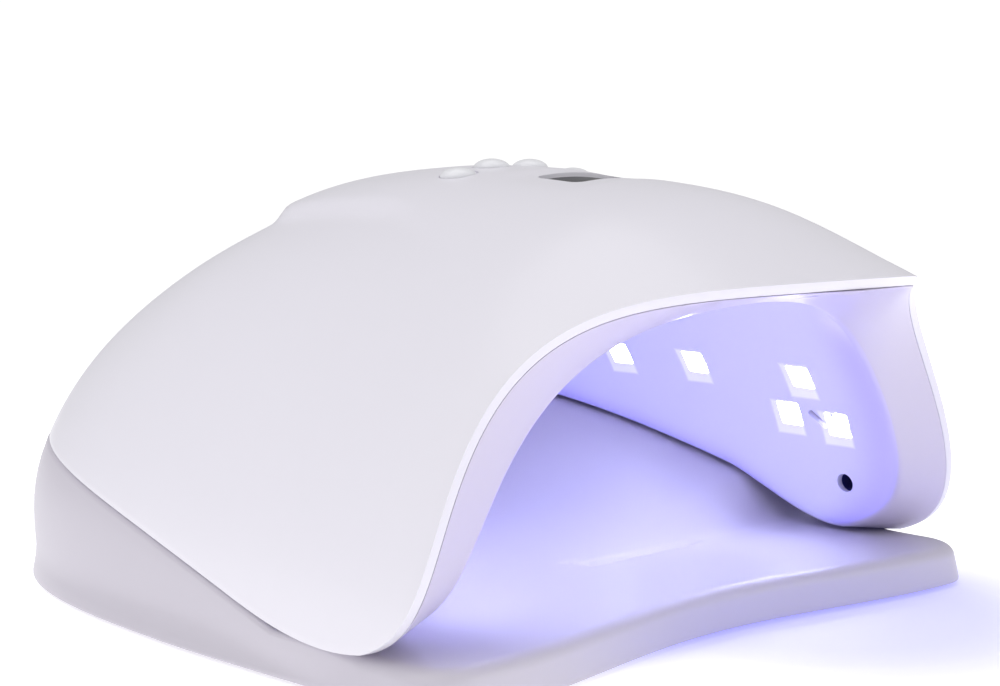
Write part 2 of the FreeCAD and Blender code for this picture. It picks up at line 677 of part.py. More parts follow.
def screw(name, place, sizes):
    """Pan-head screw along its own +Z, with a cross recess; sizes are thread, head, head height and length."""
    thread, head, head_height, length = sizes
    body = turned(name, (
        ("0", "-" + head_height), (head + " * 0.7", "-" + head_height), (head, "-" + head_height + " * 0.4"),
        (head, "0"), (thread, "0"), (thread, length + " * 0.85"), (thread + " * 0.3", length), ("0", length)))
    cross = body.newObject("Sketcher::SketchObject", name + "_cross")
    plane = [feature for feature in body.Origin.OriginFeatures if feature.Role == "XY_Plane"][0]
    cross.AttachmentSupport = [(plane, "")]
    cross.MapMode = "FlatFace"
    half_slot = size(head.replace("sizes.", "")) * 0.14
    arm = size(head.replace("sizes.", "")) * 0.6
    star = [(-half_slot, -arm), (half_slot, -arm), (half_slot, -half_slot), (arm, -half_slot), (arm, half_slot),
            (half_slot, half_slot), (half_slot, arm), (-half_slot, arm), (-half_slot, half_slot),
            (-arm, half_slot), (-arm, -half_slot), (-half_slot, -half_slot)]
    for start, end in zip(star, star[1:] + star[:1]):
        cross.addGeometry(Part.LineSegment(Vector(*start, 0), Vector(*end, 0)), False)
    cross.setExpression("AttachmentOffset.Base.z", "-" + head_height + " * 0.35")
    pocket = body.newObject("PartDesign::Pocket", name + "_recess")
    pocket.Profile = cross
    pocket.Reversed = False
    pocket.setExpression("Length", head_height)
    before = body.Shape.Volume
    doc.recompute()
    if body.Shape.Volume > before - 0.01:
        pocket.Reversed = True
        doc.recompute()
    body.Placement = place
    return body


def make_screws():
    """Three screws hold the liner in the shell, four hold the control board."""
    sizes = ("sizes.screw_radius", "sizes.screw_head", "sizes.screw_head_height", "sizes.screw_length")
    liner = []
    for number, (start, direction, tube) in enumerate(SCREWS):
        rotation = FreeCAD.Rotation(Vector(0, 0, 1), direction)
        seat = start + direction * (tube - size("screw_seat"))
        liner.append(screw("liner_screw_%d" % number, FreeCAD.Placement(seat, rotation), sizes))
    group("liner_screws", liner)
    sizes = ("sizes.board_screw_radius", "sizes.board_screw_head", "sizes.board_screw_head_height",
             "sizes.board_screw_length")
    board = []
    for x in (-size("post_x"), size("post_x")):
        for y in (size("post_front_y"), size("post_rear_y")):
            board.append(screw("board_screw_%d" % len(board), at(x, y, size("board_z")), sizes))
    group("board_screws", board)


# ---------------------------------------------------------------- control board and what is on it

def make_control_board():
    """Board that carries the display, the switches and the power parts."""
    body = doc.addObject("PartDesign::Body", "control_board_body")
    half = "sizes.board_half_width"
    corners = (("-" + half, "sizes.board_front_y + 3"), ("-" + half + " + 3", "sizes.board_front_y"),
               (half + " - 3", "sizes.board_front_y"), (half, "sizes.board_front_y + 3"),
               (half, "sizes.board_rear_y"), ("-" + half, "sizes.board_rear_y"))
    pad = body.newObject("PartDesign::Pad", "control_board_pad")
    pad.Profile = outline(body, "XY_Plane", corners)
    pad.setExpression("Length", "sizes.board_thick")
    holes = body.newObject("Sketcher::SketchObject", "control_board_holes")
    plane = [feature for feature in body.Origin.OriginFeatures if feature.Role == "XY_Plane"][0]
    holes.AttachmentSupport = [(plane, "")]
    holes.MapMode = "FlatFace"
    for x in (-size("post_x"), size("post_x")):
        for y in (size("post_front_y"), size("post_rear_y")):
            holes.addGeometry(Part.Circle(Vector(x, y, 0), Vector(0, 0, 1), size("board_screw_radius") + 0.2), False)
    pocket = body.newObject("PartDesign::Pocket", "control_board_pocket")
    pocket.Profile = holes
    pocket.Type = "ThroughAll"
    pocket.Midplane = True
    body.Placement = at(0, 0, size("board_z"))
    keep("control_board", body)


def on_board(name, x, y, length, width, height):
    """A block that stands on the control board, centred on (x, y)."""
    top = size("board_z") + size("board_thick")
    block = bound("Box", name, at(x - size(length) / 2, y - size(width) / 2, top),
                  Length="sizes." + length, Width="sizes." + width, Height="sizes." + height)
    return block


def make_board_parts():
    """Timer chip, power transistors, filter parts and lead connectors."""
    for alias, value in (("chip_length", 10.0), ("chip_width", 4.0), ("chip_height", 1.6),
                         ("transistor_length", 6.5), ("transistor_width", 6.0), ("transistor_height", 2.3),
                         ("choke_edge", 7.0), ("choke_height", 4.0),
                         ("connector_length", 6.0), ("connector_width", 4.4), ("connector_height", 4.5),
                         ("capacitor_radius", 2.2), ("capacitor_length", 9.0)):
        derive(alias, value, alias.replace("_", " "))
    keep("control_chip", on_board("control_chip_block", 0, 2, "chip_length", "chip_width", "chip_height"))
    sizes = ("transistor_length", "transistor_width", "transistor_height")
    group("power_transistors", [on_board("transistor_%d" % k, (-17, 17)[k], 2, *sizes) for k in range(2)])
    choke = on_board("choke_block", 0, -23, "choke_edge", "choke_edge", "choke_height")
    doc.recompute()
    upright = [k + 1 for k, e in enumerate(choke.Shape.Edges) if abs(e.tangentAt(e.FirstParameter).z) > 0.9]
    fillet = doc.addObject("Part::Fillet", "choke_rounding")
    fillet.Base = choke
    fillet.Edges = [(number, 1.5, 1.5) for number in upright]
    keep("filter_choke", fillet)
    radius = size("capacitor_radius")
    level = size("board_z") + size("board_thick") + radius
    capacitors = []
    for number, x in enumerate((-19.0, 19.0)):
        start = x - size("capacitor_length") / 2
        capacitors.append(bound("Cylinder", "capacitor_%d" % number, at(start, -26, level, (0, 1, 0), 90),
                                Radius="sizes.capacitor_radius", Height="sizes.capacitor_length"))
    group("filter_capacitors", capacitors)
    sizes = ("connector_length", "connector_width", "connector_height")
    group("lead_connectors", [on_board("connector_%d" % k, (-9, 0, 9)[k], 12, *sizes) for k in range(3)])


def make_display():
    """Two-digit display module and the tinted window over it."""
    top = ridge(size("window_y")) - size("window_sink")
    under = top - size("window_thick") - 0.1
    derive("digits_height", under - size("board_z") - size("board_thick"), "display module height")
    keep("display_module", on_board("display_module_block", 0, size("window_y"),
                                    "digits_length", "digits_width", "digits_height"))
    body = doc.addObject("PartDesign::Body", "display_window_body")
    half_long = "sizes.window_length / 2"
    half_wide = "sizes.window_width / 2"
    corners = (("-" + half_long, "-" + half_wide), (half_long, "-" + half_wide),
               (half_long, half_wide), ("-" + half_long, half_wide))
    pad = body.newObject("PartDesign::Pad", "display_window_pad")
    pad.Profile = outline(body, "XY_Plane", corners)
    pad.setExpression("Length", "sizes.window_thick")
    doc.recompute()
    upright = ["Edge%d" % (k + 1) for k, e in enumerate(pad.Shape.Edges)
               if abs(e.tangentAt(e.FirstParameter).z) > 0.9]
    rounding = body.newObject("PartDesign::Fillet", "display_window_corners")
    rounding.Base = (pad, upright)
    rounding.setExpression("Radius", "sizes.window_corner")
    body.Placement = at(0, size("window_y"), top - size("window_thick"))
    keep("display_window", body)


# ---------------------------------------------------------------- buttons and switches

def make_buttons():
    """Four domed caps, each over a tactile switch. A flange under the roof keeps each cap in."""
    board_top = size("board_z") + size("board_thick")
    switches = []
    for number, (x, y) in enumerate(button_spots(), start=1):
        outer_edge = abs(x) + size("button_flange")
        inset = size("shell_wall")
        share = (outer_edge / (half_width(y, inset))) ** size("width_power")
        inner_roof = (ridge(y) - inset) * (1 - share) ** (1 / size("height_power"))
        share = (abs(x) / half_width(y, 0)) ** size("width_power")
        outer_roof = ridge(y) * (1 - share) ** (1 / size("height_power"))
        flange_top = derive("flange_top_%s" % "abcd"[number - 1], inner_roof - 0.25 - board_top, "flange above board")
        cap_top = derive("cap_top_%s" % "abcd"[number - 1], outer_roof + size("button_rise") - board_top, "cap")
        flange_low = flange_top + " - sizes.button_flange_thick"
        leg_low = "sizes.plunger_top + 0.1"
        cap = turned("timer_button_%d_body" % number, (
            ("0", leg_low), ("sizes.button_leg", leg_low), ("sizes.button_leg", flange_low),
            ("sizes.button_flange", flange_low), ("sizes.button_flange", flange_top),
            ("sizes.button_radius", flange_top), ("sizes.button_radius", cap_top), ("0", cap_top)))
        spin = cap.Tip
        rim = ["Edge%d" % (k + 1) for k, e in enumerate(spin.Shape.Edges)
               if abs(e.BoundBox.ZMin - spin.Shape.BoundBox.ZMax) < 0.01 and e.BoundBox.XLength > 5]
        rounding = cap.newObject("PartDesign::Fillet", "timer_button_%d_round" % number)
        rounding.Base = (spin, rim)
        rounding.setExpression("Radius", "sizes.button_round")
        cap.Placement = at(x, y, board_top)
        keep("timer_button_%d" % number, cap)
        low = "sizes.switch_height - sizes.plunger_depth + sizes.plunger_gap"
        plunger = turned("switch_plunger_%d_body" % number, (
            ("0", low), ("sizes.plunger_radius", low), ("sizes.plunger_radius", "sizes.plunger_top - 0.3"),
            ("sizes.plunger_radius - 0.3", "sizes.plunger_top"), ("0", "sizes.plunger_top")))
        plunger.Placement = at(x, y, board_top)
        keep("switch_plunger_%d" % number, plunger)
        block = on_board("switch_block_%d" % number, x, y, "switch_edge", "switch_edge", "switch_height")
        well = bound("Cylinder", "switch_well_%d" % number, Height="sizes.plunger_depth + 2",
                     Radius="sizes.plunger_radius + sizes.plunger_gap")
        well.Placement = at(x, y, board_top + size("switch_height") - size("plunger_depth") - 0.6)
        body = doc.addObject("Part::Cut", "switch_%d" % number)
        body.Base = block
        body.Tool = well
        switches.append(body)
    group("switch_bodies", switches)


# ---------------------------------------------------------------- light boards, chips and sensor

def wall_box(name, side, y, up, outward, sides, turn=0.0):
    """A Part box on the side board's plane; sides are expressions for thickness, length and width."""
    thick, length, width = sides
    block = bound("Box", name, Length=thick, Width=length, Height=width)
    doc.recompute()
    place = on_wall(side, y, up, outward, turn)
    corner = place.multVec(Vector(0, -block.Width.Value / 2, -block.Height.Value / 2))
    block.Placement = FreeCAD.Placement(corner, place.Rotation)
    return block


def make_side_lights():
    """A board with five chips behind each side wall, with half of the hand sensor on each."""
    stand_off = 0.5
    board_sides = ("sizes.led_board_thick", "sizes.led_board_length", "sizes.led_board_width")
    chip_sides = ("sizes.led_chip_thick", "sizes.led_chip", "sizes.led_chip")
    sensor_sides = ("sizes.sensor_body_thick", "sizes.sensor_body", "sizes.sensor_body")
    y_sensor, z_sensor = SENSOR_SPOT
    up_sensor = along_wall(y_sensor, z_sensor)
    for side, hand, sensor in ((-1, "left", "infrared_receiver"), (1, "right", "infrared_emitter")):
        board = wall_box("side_board_" + hand, side, BOARD_MIDDLE_Y, 0, stand_off, board_sides)
        keep("led_board_" + hand, board)
        chips = []
        for number, (y, z) in enumerate(LED_SPOTS):
            place = stand_off - size("led_chip_thick")
            chips.append(wall_box("chip_%s_%d" % (hand, number), side, y, along_wall(y, z), place, chip_sides))
        group("led_chips_" + hand, chips)
        place = stand_off - size("sensor_body_thick")
        block = wall_box(sensor + "_block", side, y_sensor, up_sensor, place, sensor_sides, -45.0)
        lens = bound("Cylinder", sensor + "_lens", Radius="sizes.sensor_dome", Height="1.2")
        frame = on_wall(side, y_sensor, up_sensor, place - 0.8)
        lens.Placement = FreeCAD.Placement(frame.Base, frame.Rotation.multiply(
            FreeCAD.Rotation(Vector(0, 1, 0), 90)))
        joined = doc.addObject("Part::Fuse", sensor + "_body")
        joined.Base = block
        joined.Tool = lens
        keep(sensor, joined)


def make_top_lights():
    """Roof board with staggered chips that shine straight down."""
    board = bound("Box", "top_board", Length="sizes.top_board_width", Width="sizes.top_board_length", Height="1.0")
    board.Placement = at(-size("top_board_width") / 2, size("top_board_y"), size("top_board_z"))
    keep("led_board_top", board)
    chips = []
    half = size("led_chip") / 2
    for number, (x, y) in enumerate(top_chip_spots()):
        place = at(x - half, y - half, size("top_board_z") - size("led_chip_thick"))
        chips.append(bound("Box", "top_chip_%d" % number, place, Length="sizes.led_chip",
                           Width="sizes.led_chip", Height="sizes.led_chip_thick"))
    group("led_chips_top", chips)


# ---------------------------------------------------------------- power socket and leads

def make_power_socket():
    """Round low-voltage socket at the rear of the head, with its centre pin."""
    end = size("shell_rear_y") - size("shell_rear_flat")
    body_end = end - size("shell_wall") - 0.2
    half = size("socket_half_width")
    body = bound("Box", "socket_block", at(-half, body_end - size("socket_length"), size("socket_z") - half),
                 Length="2 * sizes.socket_half_width", Width="sizes.socket_length",
                 Height="2 * sizes.socket_half_width")
    nose = bound("Cylinder", "socket_nose_rod", at(0, end, size("socket_z"), (1, 0, 0), 90),
                 Radius="sizes.socket_nose", Height="sizes.shell_wall + 1")
    whole = doc.addObject("Part::Fuse", "socket_whole")
    whole.Base = body
    whole.Tool = nose
    bore = bound("Cylinder", "socket_bore_rod", at(0, end + 1, size("socket_z"), (1, 0, 0), 90),
                 Radius="sizes.socket_bore", Height="sizes.socket_depth + 1")
    socket = doc.addObject("Part::Cut", "socket_cut")
    socket.Base = whole
    socket.Tool = bore
    keep("power_socket", socket)
    start = end - size("pin_short")
    pin = bound("Cylinder", "socket_pin_rod", at(0, start, size("socket_z"), (1, 0, 0), 90),
                Radius="sizes.pin_radius", Height="sizes.socket_depth - sizes.pin_short")
    doc.recompute()
    tip = doc.addObject("Part::Fillet", "socket_pin_round")
    tip.Base = pin
    ends = [k + 1 for k, e in enumerate(pin.Shape.Edges) if e.BoundBox.YLength < 0.01 and
            e.BoundBox.YMin > start - 0.1]
    tip.Edges = [(number, 0.5, 0.5) for number in ends]
    keep("power_socket_pin", tip)


def lead(name, points):
    """A round lead along straight runs joined by arcs."""
    points = [Vector(*point) for point in points]
    edges = []
    start = points[0]
    for before, corner, after in zip(points, points[1:], points[2:]):
        back = (before - corner)
        ahead = (after - corner)
        turn = math.pi - back.getAngle(ahead)
        reach = 0.45 * min(back.Length, ahead.Length)
        radius = reach / math.tan(turn / 2)
        first = corner + back.normalize() * reach
        last = corner + ahead.normalize() * reach
        inward = (back + ahead).normalize()
        centre_distance = math.hypot(radius, reach)
        middle = corner + inward * (centre_distance - radius)
        edges.append(Part.LineSegment(start, first).toShape())
        edges.append(Part.Arc(first, middle, last).toShape())
        start = last
    edges.append(Part.LineSegment(start, points[-1]).toShape())
    path = Part.Wire(edges)
    direction = points[1] - points[0]
    ring = Part.Wire([Part.makeCircle(size("lead_radius"), points[0], direction)])
    return solid_feature(name, path.makePipeShell([ring], True, False))


def make_leads():
    """Leads from the board's connectors to the socket and to the side boards."""
    high = size("board_z") + size("board_thick") + 2.4
    socket_top = size("socket_z") + size("socket_half_width")
    lead("power_lead", ((0, 14.3, high), (0, 22, high - 0.9), (0, 44, 82.5), (0, 66, 72.9),
                        (0, 88, 62.6), (0, 99, 58.4), (0, 99.6, socket_top)))
    for side, hand in ((-1, "left"), (1, "right")):
        lead("led_lead_" + hand, ((side * 9, 14.3, high), (side * 10, 22, high - 0.8), (side * 28, 24, 82.6),
                                  (side * 48, 20, 71.0), (side * 60, 14, 61.2), (side * 60.6, 9, 55.4)))


make_top_shell()
make_inner_liner()
make_base_tray()
make_feet()
make_magnets()
make_screws()
make_control_board()
make_board_parts()
make_display()
make_buttons()
make_side_lights()
make_top_lights()
make_power_socket()
make_leads()
doc.recompute()

for piece in doc.Objects:
    if "Invalid" in piece.State or "Error" in piece.State:
        raise RuntimeError("failed object: " + piece.Name)
for piece in nodes:
    if piece.Shape.isNull() or not piece.Shape.isValid():
        raise RuntimeError("bad shape: " + piece.Label)
os.makedirs("parts", exist_ok=True)
for piece in nodes:
    piece.Shape.exportStep("parts/%s.step" % piece.Label)
    box = piece.Shape.BoundBox
    print("%-20s solids %d volume %9.1f  x %.1f..%.1f y %.1f..%.1f z %.1f..%.1f" % (
        piece.Label, len(piece.Shape.Solids), piece.Shape.Volume,
        box.XMin, box.XMax, box.YMin, box.YMax, box.ZMin, box.ZMax))
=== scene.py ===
import math

import bmesh
import bpy
from mathutils import Matrix, Vector


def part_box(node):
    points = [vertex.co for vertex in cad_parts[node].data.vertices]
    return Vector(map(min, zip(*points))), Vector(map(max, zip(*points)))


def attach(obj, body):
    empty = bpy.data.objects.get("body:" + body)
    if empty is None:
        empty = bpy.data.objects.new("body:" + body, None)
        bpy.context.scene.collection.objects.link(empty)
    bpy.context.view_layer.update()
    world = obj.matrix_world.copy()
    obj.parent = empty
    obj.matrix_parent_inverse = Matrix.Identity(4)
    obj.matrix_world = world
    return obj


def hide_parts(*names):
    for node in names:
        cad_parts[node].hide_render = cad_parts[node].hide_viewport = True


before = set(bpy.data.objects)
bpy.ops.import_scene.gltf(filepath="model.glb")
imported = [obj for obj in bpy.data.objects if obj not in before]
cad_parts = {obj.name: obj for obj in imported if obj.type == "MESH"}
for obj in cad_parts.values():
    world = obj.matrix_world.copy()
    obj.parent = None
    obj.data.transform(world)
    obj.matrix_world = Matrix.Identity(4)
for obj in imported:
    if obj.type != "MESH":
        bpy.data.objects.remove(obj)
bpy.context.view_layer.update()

# Nail lamp with a lift-off head. Lengths in this file are millimetres, and MM turns them into
# the frame's metres. +Z up, -Y is the mouth, the lamp stands on z = 0.
MM = 0.001

# ---------------------------------------------------------------- base tray
# One white moulding: a deck in front of the arms, a floor that curls up at both sides and the
# rear, a sloping joint that carries the head, and an inner wall that keeps the head in place.

HALF_WIDTH = 88.0
FRONT_TAPER = 0.0165  # share of the half width lost per 100 mm towards the mouth
MIDDLE_Y = 3.5
LIP = (-109.1, 77.3)
FOOT = (-46.1, 7.0)
EDGE_RISE, EDGE_BOW = 31.0, 3.3
REAR_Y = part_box("top_shell")[1][1] / MM + 1.1
ROOF_POWER, SIDE_POWER, PLAN_POWER = 2.15, 1.95, 3.58
RIDGE = (LIP, (-96.0, 83.0), (-71.0, 92.8), (-46.0, 96.7), (-21.0, 98.7), (4.0, 99.1),
         (29.0, 96.2), (54.0, 86.7), (79.0, 75.2), (REAR_Y, 59.2))


def smooth(value):
    value = min(max(value, 0.0), 1.0)
    return value * value * (3 - 2 * value)


def ridge(y):
    """Roof height in the middle plane."""
    last = len(RIDGE) - 1
    i = max(k for k in range(last) if k == 0 or RIDGE[k][0] <= y)
    (y0, z0), (y1, z1) = RIDGE[i], RIDGE[i + 1]
    before, after = RIDGE[max(i - 1, 0)], RIDGE[min(i + 2, last)]
    bend0 = (z1 - before[1]) / (y1 - before[0]) * (y1 - y0)
    bend1 = (after[1] - z0) / (after[0] - y0) * (y1 - y0)
    t = min(max((y - y0) / (y1 - y0), 0.0), 1.0)
    rise = z1 - z0
    return z0 + bend0 * t + (3 * rise - 2 * bend0 - bend1) * t ** 2 + (bend0 + bend1 - 2 * rise) * t ** 3


def half_width(y, inset):
    """Half width of the dome at the floor."""
    if y <= MIDDLE_Y:
        return HALF_WIDTH * (1 - FRONT_TAPER * (MIDDLE_Y - y) / 100) - inset
    share = min((y - MIDDLE_Y) / (REAR_Y - inset - MIDDLE_Y), 1.0)
    return (HALF_WIDTH - inset) * (1 - share ** PLAN_POWER) ** (1 / PLAN_POWER)


def wall_x(y, z, inset, roof_inset):
    """Half width of the dome at height z."""
    share = min(max(z / (ridge(y) - roof_inset), 0.0), 1.0)
    return half_width(y, inset) * (1 - share ** ROOF_POWER) ** (1 / SIDE_POWER)


def lower_edge(y):
    """Height of the shell's lower edge."""
    share = (y - FOOT[0]) / (REAR_Y - FOOT[0])
    return FOOT[1] + EDGE_RISE * share + EDGE_BOW * math.sin(math.pi * min(max(share, 0.0), 1.0))


def flange_edge(y):
    """Height of the liner's lower edge, which stands higher than the shell's."""
    return lower_edge(y) + 8.0 * smooth((y + 48) / 30) - 6.0 * smooth((y - 64) / 35)


DECK_Z = 9.6
BAND_SIDE, BAND_TOP = 15.3, 16.9  # how far the cavity lies inside the dome at the sides and the roof
TRAY_HALF_WIDTH, TRAY_FRONT_HALF_WIDTH = 91.1, 86.8
TRAY_REAR_Y, TRAY_FRONT_Y, TRAY_FRONT_MIDDLE_Y = 109.1, -82.1, -73.4
TRAY_CORNER, TRAY_PLAN_POWER = 10.5, 2.93
TRAY_LEVELS = ((0.0, 0.0), (7.0, 2.9), (20.0, 4.6), (48.0, 8.6))  # height and how far the side draws in
FRONT_POINTS, CORNER_POINTS, SIDE_POINTS, REAR_POINTS = 40, 10, 66, 70


def rear_shares(count):
    """Steps from the widest station to the rear end, closer together where the plan rounds off."""
    bend = 0.8
    even = int(count * 0.62)
    start = math.asin(bend ** (PLAN_POWER / 2))
    shares = [bend * k / even for k in range(even)]
    for k in range(count - even + 1):
        angle = start + (math.pi / 2 - start) * k / (count - even)
        shares.append(math.sin(angle) ** (2 / PLAN_POWER))
    return shares


def draw_in(z):
    """How far the tray's side lies inside its foot line at height z."""
    low, high = [pair for pair in zip(TRAY_LEVELS, TRAY_LEVELS[1:]) if z <= pair[1][0]][0]
    return low[1] + (high[1] - low[1]) * (max(z, 0) - low[0]) / (high[0] - low[0])


def tray_outline(z, inset):
    """Right half of the tray's plan from the middle of the front to the middle of the rear."""
    pull = draw_in(z)
    wide = TRAY_HALF_WIDTH - pull - inset
    wide_front = TRAY_FRONT_HALF_WIDTH - pull / 2 - inset
    rear = TRAY_REAR_Y - pull * 0.28 - inset
    front = TRAY_FRONT_Y + inset + pull * 0.3
    front_middle = TRAY_FRONT_MIDDLE_Y + inset + pull * 0.3
    corner = max(TRAY_CORNER - inset, 1.0)
    reach = wide_front - corner
    points = []
    for k in range(FRONT_POINTS):
        x = reach * k / FRONT_POINTS
        points.append((x, front + (front_middle - front) * (1 + math.cos(math.pi * x / reach)) / 2))
    for k in range(CORNER_POINTS):
        angle = math.pi / 2 * k / CORNER_POINTS
        points.append((reach + corner * math.sin(angle), front + corner - corner * math.cos(angle)))
    for k in range(SIDE_POINTS):
        share = k / SIDE_POINTS
        y = front + corner + (MIDDLE_Y - front - corner) * share
        points.append((wide_front + (wide - wide_front) * smooth(share), y))
    for share in rear_shares(REAR_POINTS):
        across = max(1 - share ** TRAY_PLAN_POWER, 0.0) ** (1 / TRAY_PLAN_POWER)
        points.append((wide * across, MIDDLE_Y + (rear - MIDDLE_Y) * share))
    return points


def joint_point(index, y, z, inset):
    """A point of the dome, drawn in by inset, beside a point of the outline behind the arms."""
    first_rear = FRONT_POINTS + CORNER_POINTS + SIDE_POINTS
    if index >= first_rear:
        y = MIDDLE_Y + (REAR_Y - inset - MIDDLE_Y) * rear_shares(REAR_POINTS)[index - first_rear]
    return wall_x(y, z, inset, inset), y


def before_arms(y):
    """1 on the deck in front of the arms, 0 beside the head."""
    return smooth((-48 - y) / 14)


def tray_loop(height, inset, share=1.0, front_inset=0.0):
    """One loop round the tray. height is a rule of y, share is 0 at the floor and 1 at the joint."""
    loop = []
    for index, (x, y) in enumerate(tray_outline(0.0, 0.0)):
        z = height(y)
        x, y = tray_outline(z, inset + front_inset * before_arms(y))[index]
        near_head = smooth((y + 62) / 26) * share if index > FRONT_POINTS + CORNER_POINTS else 0.0
        if near_head > 0:
            joint_x, joint_y = joint_point(index, y, height(y), inset)
            x += (joint_x - x) * near_head
            y += (joint_y - y) * near_head
        loop.append((x, y, height(y)))
    return loop


SEAT_GAP = 0.5
FLOOR_GAP = 1.3


def joint_height(y):
    """Height of the face that carries the head, and of the deck in front of it."""
    return max(lower_edge(y) - SEAT_GAP, DECK_Z) if y > FOOT[0] else DECK_Z


def rim_height(y):
    """Height of the inner wall, which stands up inside the liner."""
    low = joint_height(y)
    return low + max(flange_edge(y) - FLOOR_GAP - low, 0.0) * smooth((y + 34) / 14)


def floor_height(x, y):
    """The dished floor between the arms and behind them."""
    rim = rim_height(y)
    climb_start, climb_end = 4.0, 88.0
    climb = rim_height(climb_end) - DECK_Z
    middle = min(DECK_Z + climb * max((y - climb_start) / (climb_end - climb_start), 0.0) ** 3, rim)
    reach = max(wall_x(y, rim, BAND_SIDE, BAND_TOP), 1.0)
    return middle + (rim - middle) * min(abs(x) / reach, 1.0) ** 3


def finger_mark(x, y):
    """A shallow groove in the floor that shows how far the fingertips go, hooked at its left end."""
    depth, breadth, line_y = 1.2, 1.3, -36.0
    across = (y - line_y - 2.5 * max(-x, 0.0)) / breadth
    return depth * math.exp(-across * across) * smooth((x + 4) / 3) * smooth((38 - x) / 4)


def tray_loops():
    """Loops from under the rim, up the side, over the joint and up the inner wall to the floor."""
    joint_inset, wall_inset, front_step = 2.4, 3.05, 2.0
    rounding, front_rounding = 1.2, 1.5
    loops = []
    for height, inset in ((0.8, 0.7), (1.1, 0.15), (1.6, 0.0)):
        loops.append(tray_loop(lambda y: height, inset, 0.0))
    for step in range(1, 10):
        share = step / 10
        near_joint = 1 - (1 - share) ** 1.7
        loops.append(tray_loop(lambda y: 1.6 + (joint_height(y) - 4.3) * share, 0.0, near_joint))
    for angle in range(0, 91, 15):
        turn = math.radians(angle)
        side, rise = 1 - math.cos(turn), 1 - math.sin(turn)
        loops.append(tray_loop(
            lambda y: joint_height(y) - rise * (rounding + front_rounding * before_arms(y)),
            rounding * side, front_inset=front_step * side))
    for inset in (joint_inset, 3.0):
        loops.append(tray_loop(joint_height, inset, front_inset=front_step))
    for share in (0.04, 0.35, 0.7, 0.92):
        loops.append(tray_loop(lambda y: joint_height(y) + (rim_height(y) - joint_height(y)) * share,
                               wall_inset, front_inset=front_step))
    for inset in (3.5, 6.0, 10.0, BAND_SIDE):
        loops.append(tray_loop(rim_height, inset, front_inset=front_step))
    return loops


def tray_floor(edge):
    """Grid over the floor: its first row is the front of the edge loop, its last column the side of it."""
    front, side = edge[:FRONT_POINTS + 1], edge[FRONT_POINTS:]
    corner = front[-1]
    rows = []
    for x_side, y_side, z_side in side:
        fade = 1 - smooth((y_side - corner[1]) / 45)
        row = []
        for x_front, y_front, z_front in front:
            x = x_side * x_front / corner[0]
            y = y_side + (y_front - corner[1]) * fade
            row.append((x, y, floor_height(x, y)))
        row[-1] = (x_side, y_side, z_side)
        rows.append(row)
    rows[0] = front
    return rows


def scene_piece(name, mesh):
    """Puts a finished bmesh into the scene as an object of that name."""
    data = bpy.data.meshes.new(name)
    mesh.to_mesh(data)
    mesh.free()
    piece = bpy.data.objects.new(name, data)
    bpy.context.scene.collection.objects.link(piece)
    return piece


def soften(mesh, sharp):
    """Smooth shading, with edges over the given angle in degrees left sharp."""
    mesh.polygons.foreach_set("use_smooth", [True] * len(mesh.polygons))
    mesh.set_sharp_from_angle(angle=math.radians(sharp))


def mirrored_skin(name, patches, flip=False):
    """A smooth open skin from patches of right-hand loops, with its mirror image joined on."""
    mesh = bmesh.new()
    for side in (1, -1):
        for loops in patches:
            rows = [[mesh.verts.new((side * x * MM, y * MM, z * MM)) for x, y, z in loop] for loop in loops]
            for row, next_row in zip(rows, rows[1:]):
                for a, b, c, d in zip(row, row[1:], next_row[1:], next_row):
                    corners = (a, b, c, d) if (side > 0) != flip else (d, c, b, a)
                    mesh.faces.new(corners)
    bmesh.ops.remove_doubles(mesh, verts=mesh.verts, dist=1e-5)
    bmesh.ops.dissolve_degenerate(mesh, edges=mesh.edges, dist=1e-6)
    return scene_piece(name, mesh)


def finish_moulding(piece, wall, edge_radius, cutters=()):
    """Gives a skin its wall, rounds its rims, cuts its holes and keeps the result as a plain mesh."""
    thick = piece.modifiers.new("wall", "SOLIDIFY")
    thick.thickness = wall * MM
    thick.offset = -1.0
    thick.use_even_offset = False
    rounding = piece.modifiers.new("rim", "BEVEL")
    rounding.width = edge_radius * MM
    rounding.segments = 3
    rounding.limit_method = "ANGLE"
    rounding.angle_limit = math.radians(50)
    rounding.use_clamp_overlap = True
    for cutter in cutters:
        hole = piece.modifiers.new("hole", "BOOLEAN")
        hole.operation = "DIFFERENCE"
        hole.solver = "EXACT"
        hole.object = cutter
    bpy.context.view_layer.update()
    graph = bpy.context.evaluated_depsgraph_get()
    mesh = bpy.data.meshes.new_from_object(piece.evaluated_get(graph))
    piece.modifiers.clear()
    piece.data = mesh
    for cutter in cutters:
        bpy.data.objects.remove(cutter)
    soften(mesh, 40)


